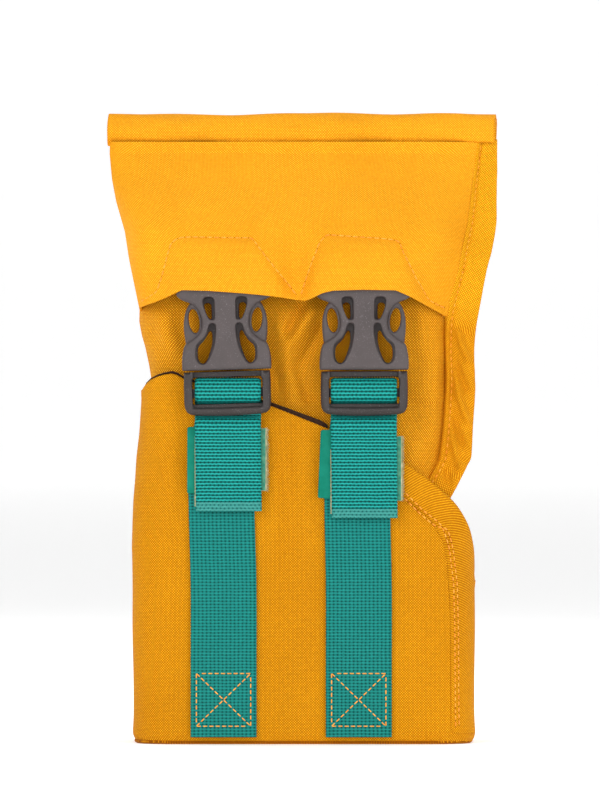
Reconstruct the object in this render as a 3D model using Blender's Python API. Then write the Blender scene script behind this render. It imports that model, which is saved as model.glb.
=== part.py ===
"""Dry bag: an inner roll-top waterproof bag held in an outer pouch by two side-release buckles.

Metres, +Z up, the front faces -Y. The base of the pouch stands on z = 0.
"""

import math

import bpy
import bmesh

MM = 0.001
GAP = 0.3  # clearance between touching pieces, mm
# The shapes below are drawn from the middle of the front panel. This puts the origin under the middle of the whole bag.
SHIFT = (1.0, 4.4, 0.0)

# Webbing and buckles, mm
WEB_W = 25.0
WEB_T = 1.6
LEFT_X = -29.6
RIGHT_X = 22.4
BUCKLE_Y = -34.2
LEFT_TILT_DEG = 0.0
RING_Z = 142.2

# Pouch, mm
POUCH_LEFT = -65.8
POUCH_RIGHT = 64.6
POUCH_FRONT = -29.0
POUCH_BACK = 31.0
POUCH_WALL = 1.3
POUCH_CORNER = 15.0
BASE_T = 2.0

# Inner bag, mm
TUBE_WALL = 1.2
TUBE_BOTTOM = 5.0
TUBE_TOP = 224.8
ROLL_R = 8.2
ROLL_Y = -1.6
ROLL_Z = 233.5

# Height of the pouch's slanted rim across the front, (x, z)
RIM = ((-65.8, 133.0), (-62.0, 135.3), (-60.3, 137.2), (-55.7, 139.8), (-50.4, 140.8), (-46.4, 138.9),
       (-13.0, 128.5), (8.1, 120.1), (37.4, 107.1), (46.9, 100.6), (55.1, 93.5), (59.1, 88.5),
       (62.2, 82.4), (63.7, 76.4), (64.3, 70.5), (64.6, 62.0))
# Height of the yoke's hem across the front, (x, z)
HEM = ((-72.0, 164.5), (-62.6, 165.8), (-56.7, 167.7), (-47.9, 171.3), (-35.6, 172.0), (-2.7, 168.5),
       (1.9, 169.0), (9.9, 172.0), (32.6, 172.2), (37.5, 170.0), (45.5, 166.4), (53.8, 162.2), (60.0, 161.0))


def lerp(table, x):
    if x <= table[0][0]:
        return table[0][1]
    for (x0, y0), (x1, y1) in zip(table, table[1:]):
        if x <= x1:
            return y0 + (y1 - y0) * (x - x0) / (x1 - x0)
    return table[-1][1]


def smooth(t):
    t = min(1.0, max(0.0, t))
    return t * t * (3 - 2 * t)


# ---------------------------------------------------------------- scene and helpers

for obj in list(bpy.data.objects):
    bpy.data.objects.remove(obj, do_unlink=True)


def material(name, color, roughness, metallic=0.0):
    mat = bpy.data.materials.new(name)
    mat.use_nodes = True
    bsdf = mat.node_tree.nodes["Principled BSDF"]
    bsdf.inputs["Base Color"].default_value = (*color, 1.0)
    bsdf.inputs["Roughness"].default_value = roughness
    bsdf.inputs["Metallic"].default_value = metallic
    return mat


FABRIC = material("pouch_fabric", (0.80, 0.30, 0.010), 0.65)
COATED = material("bag_fabric", (0.86, 0.34, 0.014), 0.60)
BASE_FABRIC = material("base_fabric", (0.55, 0.20, 0.010), 0.70)
LINING = material("dark_lining", (0.035, 0.020, 0.012), 0.80)
WEBBING = material("teal_webbing", (0.010, 0.25, 0.22), 0.75)
HOOK = material("hook_tab", (0.030, 0.30, 0.20), 0.60)
LOOP = material("loop_tab", (0.42, 0.33, 0.18), 0.90)
PLASTIC = material("buckle_plastic", (0.085, 0.072, 0.075), 0.50)
STIFF = material("stiffener_strip", (0.30, 0.30, 0.30), 0.50)


def world_of(obj):
    at = [0.0, 0.0, 0.0]
    while obj:
        at = [a + b for a, b in zip(at, obj.location)]
        obj = obj.parent
    return at


def empty(name, at, parent=None):
    obj = bpy.data.objects.new(name, None)
    bpy.context.scene.collection.objects.link(obj)
    base = world_of(parent) if parent else (0, 0, 0)
    obj.location = [(v + d) * MM - b for v, d, b in zip(at, SHIFT, base)]
    obj.empty_display_size = 0.02
    obj.parent = parent
    return obj


def solid(name, verts, faces, mat, parent=None, origin=(0, 0, 0), smooth_angle=None):
    """A closed mesh from drawn points in mm, with its origin at a given drawn point."""
    origin = [(v + d) * MM for v, d in zip(origin, SHIFT)]
    mesh = bpy.data.meshes.new(name)
    mesh.from_pydata([[(v + d) * MM - o for v, d, o in zip(p, SHIFT, origin)] for p in verts], [], faces)
    bm = bmesh.new()
    bm.from_mesh(mesh)
    bmesh.ops.recalc_face_normals(bm, faces=bm.faces[:])
    bm.to_mesh(mesh)
    bm.free()
    if smooth_angle:
        mesh.shade_smooth()
        mesh.set_sharp_from_angle(angle=math.radians(smooth_angle))
    obj = bpy.data.objects.new(name, mesh)
    bpy.context.scene.collection.objects.link(obj)
    mesh.materials.append(mat)
    obj.parent = parent
    base = world_of(parent) if parent else (0, 0, 0)
    obj.location = [o - b for o, b in zip(origin, base)]
    return obj


def cutter(name, verts, faces):
    obj = solid(name, verts, faces, PLASTIC)
    obj.hide_render = True
    obj.display_type = "WIRE"
    return obj


def cut(obj, tool):
    mod = obj.modifiers.new("cut_" + tool.name, "BOOLEAN")
    mod.operation = "DIFFERENCE"
    mod.solver = "EXACT"
    mod.object = tool


def join(obj, tool):
    mod = obj.modifiers.new("join_" + tool.name, "BOOLEAN")
    mod.operation = "UNION"
    mod.solver = "EXACT"
    mod.object = tool


def prism(points, y0, y1):
    """Points (x, z) extruded along Y."""
    n = len(points)
    verts = [(x, y0, z) for x, z in points] + [(x, y1, z) for x, z in points]
    faces = [tuple(range(n)), tuple(range(2 * n - 1, n - 1, -1))]
    faces += [(i, (i + 1) % n, n + (i + 1) % n, n + i) for i in range(n)]
    return verts, faces


def box(x0, x1, y0, y1, z0, z1):
    return prism(((x0, z0), (x1, z0), (x1, z1), (x0, z1)), y0, y1)


def turned_about(points, centre, degrees):
    """(x, z) points turned in the front plane, counter-clockwise as seen from the front."""
    c, s = math.cos(math.radians(degrees)), math.sin(math.radians(degrees))
    cx, cz = centre
    return [(cx + (x - cx) * c - (z - cz) * s, cz + (x - cx) * s + (z - cz) * c) for x, z in points]


def rounded_ring(xl, xr, yf, yb, r, corner=5, sides=(8, 4)):
    """Points (x, y) round a rounded rectangle, counter-clockwise from above, starting at the front left."""
    r = min(r, (xr - xl) / 2 - 0.2, (yb - yf) / 2 - 0.2)
    corners = (((xl + r, yf + r), 180), ((xr - r, yf + r), 270), ((xr - r, yb - r), 0), ((xl + r, yb - r), 90))
    ring = []
    for k, ((cx, cy), start) in enumerate(corners):
        arc = []
        for i in range(corner + 1):
            a = math.radians(start + 90 * i / corner)
            arc.append((cx + r * math.cos(a), cy + r * math.sin(a)))
        ring += arc
        (nx, ny), begin = corners[(k + 1) % 4]
        a = math.radians(begin)
        end = (nx + r * math.cos(a), ny + r * math.sin(a))
        count = sides[k % 2]
        for i in range(1, count):
            t = i / count
            ring.append((arc[-1][0] + (end[0] - arc[-1][0]) * t, arc[-1][1] + (end[1] - arc[-1][1]) * t))
    return ring


def walled(outer, inner):
    """A tube with a wall: outer and inner are lists of rings, bottom to top, each with the same number of points."""
    n, rows = len(outer[0]), len(outer)
    verts = [p for ring in outer for p in ring] + [p for ring in inner for p in ring]
    base = n * rows
    faces = []
    for j in range(rows - 1):
        for i in range(n):
            k = (i + 1) % n
            a, b, c, d = j * n + i, j * n + k, (j + 1) * n + k, (j + 1) * n + i
            faces.append((a, b, c, d))
            faces.append((base + d, base + c, base + b, base + a))
    top = (rows - 1) * n
    for i in range(n):
        k = (i + 1) % n
        faces.append((top + i, top + k, base + top + k, base + top + i))
        faces.append((k, i, base + i, base + k))
    return verts, faces


def capped(rings):
    n, rows = len(rings[0]), len(rings)
    verts = [p for ring in rings for p in ring]
    faces = [tuple(range(n - 1, -1, -1)), tuple(range((rows - 1) * n, rows * n))]
    for j in range(rows - 1):
        for i in range(n):
            k = (i + 1) % n
            faces.append((j * n + i, j * n + k, (j + 1) * n + k, (j + 1) * n + i))
    return verts, faces


def sheet(front, back):
    """A thin closed slab between two grids of points of the same shape."""
    rows, n = len(front), len(front[0])
    verts = [p for row in front for p in row] + [p for row in back for p in row]
    base = rows * n
    faces = []
    for j in range(rows - 1):
        for i in range(n - 1):
            a, b, c, d = j * n + i, j * n + i + 1, (j + 1) * n + i + 1, (j + 1) * n + i
            faces.append((a, b, c, d))
            faces.append((base + d, base + c, base + b, base + a))
    for i in range(n - 1):
        faces.append((i + 1, i, base + i, base + i + 1))
        t = (rows - 1) * n
        faces.append((t + i, t + i + 1, base + t + i + 1, base + t + i))
    for j in range(rows - 1):
        faces.append((j * n, (j + 1) * n, base + (j + 1) * n, base + j * n))
        e = n - 1
        faces.append(((j + 1) * n + e, j * n + e, base + j * n + e, base + (j + 1) * n + e))
    return verts, faces


# ---------------------------------------------------------------- bodies

holster = empty("holster_frame", (-SHIFT[0], -SHIFT[1], 0))
bag = empty("dry_bag_frame", (-SHIFT[0], -SHIFT[1], 0), holster)
ROLL_AXIS = (0.0, 7.4, 225.0)
roll = empty("roll_top_frame", ROLL_AXIS, bag)

# ---------------------------------------------------------------- outer pouch

LEFT_EDGE = ((2.0, 65.2), (55.0, 65.5), (75.0, 65.8), (93.0, 65.0), (100.0, 64.4), (109.0, 63.9), (118.0, 62.9), (141.0, 61.6))


def pouch_x(x, z):
    return x * lerp(LEFT_EDGE, z) / 65.8 if x < 0 else x


def pouch_rings(inset):
    base = rounded_ring(POUCH_LEFT + inset, POUCH_RIGHT - inset, POUCH_FRONT + inset, POUCH_BACK - inset,
                        POUCH_CORNER - inset, corner=7, sides=(12, 3))
    rings = []
    bottom = BASE_T + GAP
    for t in (0.0, 0.25, 0.5, 0.75, 0.9, 1.0):
        ring = []
        for x, y in base:
            z = bottom + (lerp(RIM, x) - bottom) * t
            ring.append((pouch_x(x, z), y, z))
        rings.append(ring)
    return rings


verts, faces = walled(pouch_rings(0.0), pouch_rings(POUCH_WALL))
solid("pouch_shell", verts, faces, FABRIC, holster, smooth_angle=40)

ring = rounded_ring(POUCH_LEFT + 0.4, POUCH_RIGHT - 0.2, POUCH_FRONT, POUCH_BACK, POUCH_CORNER, corner=7, sides=(4, 2))
verts, faces = capped([[(pouch_x(x, 0), y, z) for x, y in ring] for z in (0.0, BASE_T)])
solid("pouch_base", verts, faces, BASE_FABRIC, holster)

lip = [-46.0 + i * (54.0 / 12) for i in range(13)]
outline = [(x, lerp(RIM, x) - 8.0) for x in lip] + [(x, lerp(RIM, x) + 1.3) for x in reversed(lip)]
verts, faces = prism(outline, POUCH_FRONT + POUCH_WALL + 0.35, POUCH_FRONT + POUCH_WALL + 0.95)
solid("pouch_rim_lining", verts, faces, LINING, holster)

# ---------------------------------------------------------------- webbing straps

FIXED_Y = POUCH_FRONT - GAP - WEB_T / 2
TAIL_Y = FIXED_Y - 3.4


def ribbon(path, centres, width, thick):
    """A flat ribbon: (y, z) centre line and an x for each point."""
    left, right = [], []
    n = len(path)
    for i in range(n):
        y0, z0 = path[max(0, i - 1)]
        y1, z1 = path[min(n - 1, i + 1)]
        d = math.hypot(y1 - y0, z1 - z0)
        ny, nz = (z1 - z0) / d, -(y1 - y0) / d
        y, z = path[i]
        h = thick / 2
        left.append((centres[i], y + ny * h, z + nz * h))
        right.append((centres[i], y - ny * h, z - nz * h))
    front = [[(c - width / 2, y, z) for c, y, z in left], [(c + width / 2, y, z) for c, y, z in left]]
    back = [[(c - width / 2, y, z) for c, y, z in right], [(c + width / 2, y, z) for c, y, z in right]]
    return sheet(front, back)


def strap(name, x_low, x_mid, x_top, tail_end):
    """Fixed run up the pouch, behind the lock, over its bar, back through and down as the tail."""
    path = [(FIXED_Y, 2.6), (FIXED_Y, 60.0), (FIXED_Y, 87.0), (FIXED_Y, 105.0), (FIXED_Y, 124.0), (FIXED_Y, 133.0)]
    cx = [x_low, x_low, x_mid, x_mid, x_top, x_top]
    over = [(FIXED_Y - 0.5, 135.2), (FIXED_Y - 1.6, 136.7), (FIXED_Y - 3.3, 137.5), (FIXED_Y - 5.2, 137.3),
            (FIXED_Y - 6.5, 136.2), (FIXED_Y - 7.0, 134.4), (FIXED_Y - 7.0, 132.0), (FIXED_Y - 6.5, 130.5),
            (FIXED_Y - 5.2, 129.8), (FIXED_Y - 3.6, 129.6), (FIXED_Y - 2.4, 128.9), (FIXED_Y - 1.95, 127.4),
            (FIXED_Y - 1.95, 124.5), (FIXED_Y - 2.3, 122.4), (TAIL_Y + 0.3, 120.6), (TAIL_Y, 118.6),
            (TAIL_Y, tail_end)]
    path += over
    cx += [x_top] * len(over)
    verts, faces = ribbon(path, cx, WEB_W, WEB_T)
    solid(name, verts, faces, WEBBING, holster)


strap("left_strap_webbing", -30.9, -31.5, -29.3, 88.3)
strap("right_strap_webbing", 20.4, 19.6, 22.2, 85.6)

TAB_FRONT, TAB_BACK = TAIL_Y + WEB_T / 2 + 0.3, FIXED_Y - WEB_T / 2 - 0.3


def tab(name, outline, mat):
    verts, faces = prism(outline, TAB_FRONT, TAB_BACK)
    solid(name, verts, faces, mat, holster)


tab("left_hook_tab", ((-44.7, 95.3), (-30.2, 95.3), (-30.2, 117.0), (-44.7, 117.0)), HOOK)
tab("left_loop_tab", ((-29.8, 96.3), (-13.6, 96.3), (-13.6, 117.0), (-29.8, 117.0)), LOOP)
tab("right_hook_tab", ((4.9, 93.6), (21.0, 93.6), (21.0, 117.0), (5.9, 117.0)), HOOK)
tab("right_loop_tab", ((21.4, 92.5), (37.6, 92.5), (37.2, 116.5), (21.4, 116.5)), LOOP)

# ---------------------------------------------------------------- buckles

# Right half of the female front, (x, z) from the centre line, top to bottom
FEMALE_HALF = ((0.0, 181.4), (14.6, 181.4), (14.6, 174.2), (17.0, 173.0), (18.1, 171.4), (17.4, 169.9), (14.3, 167.9),
               (12.6, 167.6), (10.6, 165.9), (9.5, 163.4), (9.0, 160.1), (9.5, 157.6), (10.6, 155.6), (12.8, 153.6),
               (14.8, 152.7), (15.8, 151.6), (16.5, 149.3), (16.8, 146.5), (16.8, RING_Z))
UPPER_WINDOW = ((4.0, 162.0), (4.0, 168.6), (4.6, 169.2), (7.4, 169.2), (8.2, 168.3), (7.6, 165.4), (6.3, 161.9), (4.8, 161.4))
LOWER_WINDOW = ((3.7, 159.0), (4.3, 159.8), (5.9, 159.8), (6.6, 158.9), (7.3, 156.3), (8.5, 154.3), (10.9, 152.0),
                (11.5, 150.2), (11.5, 146.6), (10.7, 145.2), (9.1, 144.5), (7.7, 145.1), (6.3, 147.3), (4.9, 150.6), (4.0, 154.4))
THICK = 8.0
PLATE = 1.35
WALL = 1.5
PRONG_T = 4.7
BUTTON = ((14.95, 143.0), (14.95, 151.6), (15.6, 155.2), (15.75, 159.5), (15.3, 163.0), (14.3, 166.0), (12.9, 168.0),
          (11.9, 168.4), (10.9, 167.6), (9.3, 165.0), (8.4, 161.6), (8.4, 158.0), (9.5, 154.9), (11.5, 152.4), (12.1, 150.4),
          (12.1, 143.0))
PIVOT = (13.5, 143.0)
HOLE_CENTRE, HOLE_RADII, HOLE_LEAN = (11.75, 161.0), (2.0, 4.6), 7.0


def placed(points, centre_x, tilt):
    shifted = [(x + centre_x, z) for x, z in points]
    return turned_about(shifted, (centre_x, RING_Z), tilt) if tilt else shifted


def mirrored(points):
    return [(-x, z) for x, z in reversed(points)]


def female(side, cx, tilt):
    outline = placed(list(FEMALE_HALF) + mirrored(FEMALE_HALF[1:]), cx, tilt)
    y0, y1 = BUCKLE_Y - THICK / 2, BUCKLE_Y + THICK / 2
    verts, faces = prism(outline, y0, y1)
    obj = solid(side + "_female_buckle", verts, faces, PLASTIC, bag)
    for k, window in enumerate((UPPER_WINDOW, LOWER_WINDOW)):
        for tag, pts in (("r", list(window)), ("l", mirrored(window))):
            verts, faces = prism(placed(pts, cx, tilt), y0 - 1, y1 + 1)
            cut(obj, cutter(f"{side}_window_{k}{tag}", verts, faces))
    # the space for the prongs, open at the mouth and at the sides above the shoulders
    half = THICK / 2 - PLATE
    space = ((4.6, 141.0), (15.3, 141.0), (15.3, 150.4), (22.0, 150.4), (22.0, 169.0), (4.6, 169.0))
    for tag, pts in (("r", list(space)), ("l", mirrored(space))):
        verts, faces = prism(placed(pts, cx, tilt), BUCKLE_Y - half, BUCKLE_Y + half)
        cut(obj, cutter(f"{side}_space_{tag}", verts, faces))
    # the slot that the anchor loop goes through, and the thinner bar above it
    slot = ((-11.4, 174.0), (11.4, 174.0), (11.4, 178.0), (-11.4, 178.0))
    verts, faces = prism(placed(slot, cx, tilt), y0 - 1, y1 + 1)
    cut(obj, cutter(side + "_web_slot", verts, faces))
    bar = ((-20.0, 175.3), (20.0, 175.3), (20.0, 183.0), (-20.0, 183.0))
    for tag, a, b in (("f", y0 - 1, BUCKLE_Y - 1.8), ("b", BUCKLE_Y + 1.8, y1 + 1)):
        verts, faces = prism(placed(bar, cx, tilt), a, b)
        cut(obj, cutter(f"{side}_bar_{tag}", verts, faces))
    return obj


def prong(name, cx, tilt, sign):
    pts = list(BUTTON) if sign > 0 else mirrored(BUTTON)
    (px, pz), = placed([(sign * PIVOT[0], PIVOT[1])], cx, tilt)
    verts, faces = prism(placed(pts, cx, tilt), BUCKLE_Y - PRONG_T / 2, BUCKLE_Y + PRONG_T / 2)
    obj = solid(name, verts, faces, PLASTIC, holster, origin=(px, BUCKLE_Y, pz))
    hole = []
    for i in range(16):
        a = 2 * math.pi * i / 16
        hole.append((HOLE_RADII[0] * math.cos(a), HOLE_RADII[1] * math.sin(a)))
    hole = [(HOLE_CENTRE[0] + x, HOLE_CENTRE[1] + z) for x, z in turned_about(hole, (0, 0), -HOLE_LEAN)]
    hole = hole if sign > 0 else mirrored(hole)
    verts, faces = prism(placed(hole, cx, tilt), BUCKLE_Y - 4, BUCKLE_Y + 4)
    cut(obj, cutter(name + "_hole", verts, faces))
    return obj


FRAME_HALF, FRAME_IN = 16.4, 13.3
FRAME_LOW, FRAME_TOP = 125.2, RING_Z - 0.4


def male(side, cx):
    y0, y1 = BUCKLE_Y - 3.8, BUCKLE_Y + 3.0
    r = 2.6
    low = []
    for i in range(5):
        a = math.radians(180 + 90 * i / 4)
        low.append((-FRAME_HALF + r + r * math.cos(a), FRAME_LOW + r + r * math.sin(a)))
    outline = low + mirrored(low) + [(FRAME_HALF, FRAME_TOP), (-FRAME_HALF, FRAME_TOP)]
    verts, faces = prism(placed(outline, cx, 0), y0, y1)
    obj = solid(side + "_male_buckle", verts, faces, PLASTIC, holster)
    opening = ((-FRAME_IN, 127.9), (FRAME_IN, 127.9), (FRAME_IN, 139.5), (-FRAME_IN, 139.5))
    verts, faces = prism(placed(opening, cx, 0), y0 - 1, y1 + 1)
    cut(obj, cutter(side + "_lock_opening", verts, faces))
    # room behind the bottom bar for the two runs of webbing
    verts, faces = box(cx - FRAME_IN, cx + FRAME_IN, BUCKLE_Y + 1.0, y1 + 1, FRAME_LOW - 1, 128.5)
    cut(obj, cutter(side + "_bar_relief", verts, faces))
    verts, faces = box(cx - FRAME_IN - 1, cx + FRAME_IN + 1, BUCKLE_Y - 1.5, BUCKLE_Y + 1.0, 131.8, 135.3)
    bar = cutter(side + "_lock_bar", verts, faces)
    join(obj, bar)
    return obj


for side, cx, tilt in (("left", LEFT_X, LEFT_TILT_DEG), ("right", RIGHT_X, 0.0)):
    female(side, cx, tilt)
    male(side, cx)
    outer, inner = (-1, 1) if side == "left" else (1, -1)
    prong(side + "_prong_outer", cx, tilt, outer)
    prong(side + "_prong_inner", cx, tilt, inner)


def anchor_loop(side, cx, tilt):
    """Webbing folded round the bar of the female half, its two ends lying together under the yoke."""
    by, bz = BUCKLE_Y, 179.7
    path = [(by + 4.6, 193.0), (by + 4.3, 188.0), (by + 3.0, 182.5), (by + 2.75, 179.0)]
    for k in range(7):
        a = math.radians(-15 - 150 * k / 6)
        path.append((by + 2.8 * math.cos(a), bz - 2.4 + 2.3 * math.sin(a)))
    path += [(by - 2.75, 179.0), (by - 2.7, 182.4), (by - 0.6, 186.5), (by + 2.0, 190.0), (by + 2.7, 193.0)]
    (ax, _), = placed([(0.0, 179.7)], cx, tilt)
    verts, faces = ribbon(path, [ax] * len(path), 21.0, 1.2)
    solid(side + "_anchor_loop", verts, faces, WEBBING, bag)


anchor_loop("left", LEFT_X, LEFT_TILT_DEG)
anchor_loop("right", RIGHT_X, 0.0)

# ---------------------------------------------------------------- inner bag

TUBE_LEFT = ((5.0, -58.0), (139.0, -57.6), (152.0, -58.8), (165.8, -60.8), (184.0, -64.6), (206.5, -69.8), (224.8, -73.5))
TUBE_RIGHT = ((5.0, 52.6), (150.0, 52.8), (162.2, 53.6), (179.6, 57.8), (198.6, 61.3), (206.5, 62.6), (224.8, 63.6))
TUBE_FRONT = ((5.0, -26.2), (165.0, -26.2), (190.0, -24.2), (206.0, -18.6), (224.8, -8.0))
TUBE_BACK = ((5.0, 28.6), (150.0, 28.6), (175.0, 25.5), (190.0, 21.5), (206.0, 14.0), (224.8, 3.0))


def tube_ring(z, inset):
    xl, xr = lerp(TUBE_LEFT, z) + inset, lerp(TUBE_RIGHT, z) - inset
    yf, yb = lerp(TUBE_FRONT, z) + inset, lerp(TUBE_BACK, z) - inset
    return [(x, y, z) for x, y in rounded_ring(xl, xr, yf, yb, 16.0 - inset, corner=5, sides=(8, 3))]


LEVELS = (TUBE_BOTTOM, 60.0, 120.0, 150.0, 165.0, 178.0, 190.0, 200.0, 208.0, 217.0, TUBE_TOP)
verts, faces = walled([tube_ring(z, 0.0) for z in LEVELS], [tube_ring(z, TUBE_WALL) for z in LEVELS])
solid("dry_tube", verts, faces, COATED, bag, smooth_angle=40)

verts, faces = capped([[(x, y, z) for x, y, _ in tube_ring(TUBE_BOTTOM, 0.0)] for z in (3.0, TUBE_BOTTOM - GAP)])
solid("tube_base", verts, faces, BASE_FABRIC, bag)

# Outer edge of the seam flange, (z, x)
FLANGE = ((88.0, 54.0), (93.0, 55.1), (106.5, 62.2), (109.5, 63.3), (133.8, 64.8), (149.3, 64.4), (167.0, 66.7),
          (180.0, 69.2), (188.0, 71.3), (197.8, 73.0), (224.8, 73.2))
steps = [88.0, 93.0, 100.0, 106.5, 109.5, 122.0, 133.8, 149.3, 158.0, 167.0, 180.0, 188.0, 197.8, 211.0, 224.8]
front, back = [], []
for z in steps:
    inner = lerp(TUBE_RIGHT, z) + 0.35
    outer = max(lerp(FLANGE, z), inner + 0.8)
    y = 0.5 * (lerp(TUBE_FRONT, z) + lerp(TUBE_BACK, z)) - 2.0
    front.append([(inner, y - 1.0, z), (0.5 * (inner + outer), y - 1.0, z), (outer, y - 1.0, z)])
    back.append([(inner, y + 1.0, z), (0.5 * (inner + outer), y + 1.0, z), (outer, y + 1.0, z)])
verts, faces = sheet(front, back)
solid("side_seam_flange", verts, faces, COATED, bag)

# The yoke: from the left side, across the front, to the seam at the right
YOKE_FRONT = ((160.0, -39.8), (176.0, -39.8), (186.0, -38.4), (196.0, -33.2), (206.5, -25.6), (216.0, -17.2), (224.8, -9.6))
YOKE_LEFT = ((160.0, -62.0), (165.8, -62.6), (184.0, -66.4), (206.5, -71.5), (224.8, -75.2))


def yoke_row(u, inset):
    """A line of points from hem to top at u, 0 at the left side to 1 at the seam."""
    row = []
    for j in range(9):
        t = j / 8
        x_nominal = -72.0 + 132.0 * u
        hem = lerp(HEM, x_nominal)
        z = hem + (TUBE_TOP - hem) * t
        xl = lerp(YOKE_LEFT, z) + inset
        xr = lerp(TUBE_RIGHT, z) - 0.2
        yf = lerp(YOKE_FRONT, z) + inset
        ys = min(-3.0, yf + 30.0)
        yr = lerp(TUBE_FRONT, z) - 0.5 + (inset - 1.0)
        # left edge, rounded corner, flat front, gentle corner, right edge at the seam
        turn = min(14.0, (ys - yf) * 0.9)
        if u < 0.06:
            k = u / 0.06
            x, y = xl, ys + (yf + turn - ys) * k
        elif u < 0.2:
            a = math.radians(180 + 90 * (u - 0.06) / 0.14)
            x, y = xl + turn + turn * math.cos(a), yf + turn + turn * math.sin(a)
        elif u < 0.88:
            k = (u - 0.2) / 0.68
            x, y = xl + turn + (xr - 8.0 - xl - turn) * k, yf
        else:
            k = (u - 0.88) / 0.12
            x = xr - 8.0 + 8.0 * k
            y = yf + (yr - yf) * smooth(k)
        row.append((x, y, z))
    return row


us = [0.0, 0.03, 0.06, 0.088, 0.116, 0.144, 0.172, 0.2, 0.26, 0.32, 0.4, 0.47, 0.54, 0.6, 0.66, 0.74, 0.8, 0.84, 0.88,
      0.91, 0.94, 0.97, 1.0]
verts, faces = sheet([yoke_row(u, 0.0) for u in us], [yoke_row(u, 1.0) for u in us])
solid("yoke_panel", verts, faces, COATED, bag, smooth_angle=40)

# ---------------------------------------------------------------- closure

n = 24


def roll_ring(x, r):
    return [(x, ROLL_Y + r * math.cos(2 * math.pi * i / n), ROLL_Z + r * 0.97 * math.sin(2 * math.pi * i / n)) for i in range(n)]


outer = [roll_ring(x, ROLL_R) for x in (-75.0, -40.0, 0.0, 40.0, 73.0)]
inner = [roll_ring(x, 3.2) for x in (-75.0, -40.0, 0.0, 40.0, 73.0)]
verts, faces = walled(outer, inner)
solid("rolled_top", verts, faces, COATED, roll, origin=ROLL_AXIS, smooth_angle=40)
verts, faces = box(-73.0, 71.0, ROLL_Y - 2.2, ROLL_Y + 2.2, ROLL_Z - 0.6, ROLL_Z + 0.6)
solid("closure_stiffener", verts, faces, STIFF, roll, origin=ROLL_AXIS)
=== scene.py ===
"""Looks of the dry bag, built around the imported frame. Lengths in the helpers are millimetres, measured from the
middle of the front panel as part.py draws them; W() turns them into the row frame in metres."""
import bpy, bmesh, math, random
import numpy as np
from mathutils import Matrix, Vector


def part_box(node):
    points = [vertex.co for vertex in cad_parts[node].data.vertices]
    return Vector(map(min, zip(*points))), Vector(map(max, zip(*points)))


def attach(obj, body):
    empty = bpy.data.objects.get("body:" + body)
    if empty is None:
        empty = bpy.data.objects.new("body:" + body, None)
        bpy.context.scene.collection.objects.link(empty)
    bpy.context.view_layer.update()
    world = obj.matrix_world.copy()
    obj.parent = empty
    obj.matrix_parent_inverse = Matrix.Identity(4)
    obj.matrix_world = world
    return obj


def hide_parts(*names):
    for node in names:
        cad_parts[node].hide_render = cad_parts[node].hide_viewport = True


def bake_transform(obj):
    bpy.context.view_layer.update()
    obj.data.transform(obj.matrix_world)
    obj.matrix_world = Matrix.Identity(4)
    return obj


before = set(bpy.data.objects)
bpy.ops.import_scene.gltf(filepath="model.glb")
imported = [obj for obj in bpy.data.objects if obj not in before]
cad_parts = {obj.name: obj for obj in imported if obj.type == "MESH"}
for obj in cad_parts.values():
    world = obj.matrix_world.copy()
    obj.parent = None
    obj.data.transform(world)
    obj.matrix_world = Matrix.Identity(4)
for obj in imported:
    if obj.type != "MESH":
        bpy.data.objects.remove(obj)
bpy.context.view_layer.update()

low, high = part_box("pouch_base")
# the base panel runs from -65.4 to 64.4 and -29 to 31 where part.py draws it
SX = (low.x + high.x) / 2 * 1000 - (-64.805 + 64.4) / 2
SY = (low.y + high.y) / 2 * 1000 - (-29.0 + 31.0) / 2
RNG = random.Random(7)
D2R = math.radians


def W(p):
    p = np.asarray(p, float)
    return (p + np.array([SX, SY, 0.0])) * 0.001


def PX(px, py):
    """Front-plane millimetres of a point given on the 600 by 800 picture plane of the camera."""
    return ((px - 305.0) * 0.379, (745.0 - py) * 0.379)


def lerp(table, x):
    xs = [a for a, _ in table]
    return float(np.interp(x, xs, [b for _, b in table]))


def lerpv(table, x):
    return np.interp(x, [a for a, _ in table], [b for _, b in table])


def sm(t):
    t = np.clip(t, 0.0, 1.0)
    return t * t * (3 - 2 * t)


def spline(points, step=0.5):
    """A smooth line through points, evenly spaced: centripetal Catmull-Rom."""
    p = np.array(points, float)
    p = np.vstack([2 * p[0] - p[1], p, 2 * p[-1] - p[-2]])
    out = []
    for i in range(1, len(p) - 2):
        a, b, c, d = p[i - 1:i + 3]
        n = max(4, int(np.linalg.norm(c - b) / step * 2))
        t = np.linspace(0, 1, n, endpoint=False)[:, None]
        out.append(0.5 * (2 * b + (c - a) * t + (2 * a - 5 * b + 4 * c - d) * t ** 2 + (3 * b - a - 3 * c + d) * t ** 3))
    out.append(p[-2][None])
    line = np.vstack(out)
    return respace(line, step)


def respace(line, step):
    along = np.concatenate([[0], np.cumsum(np.linalg.norm(np.diff(line, axis=0), axis=1))])
    n = max(2, int(round(along[-1] / step)) + 1)
    at = np.linspace(0, along[-1], n)
    return np.stack([np.interp(at, along, line[:, k]) for k in range(line.shape[1])], axis=1)


# ------------------------------------------------------------------ node materials

def lin(r, g, b):
    def f(c):
        c /= 255.0
        return c / 12.92 if c <= 0.04045 else ((c + 0.055) / 1.055) ** 2.4
    return (f(r), f(g), f(b), 1.0)


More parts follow.
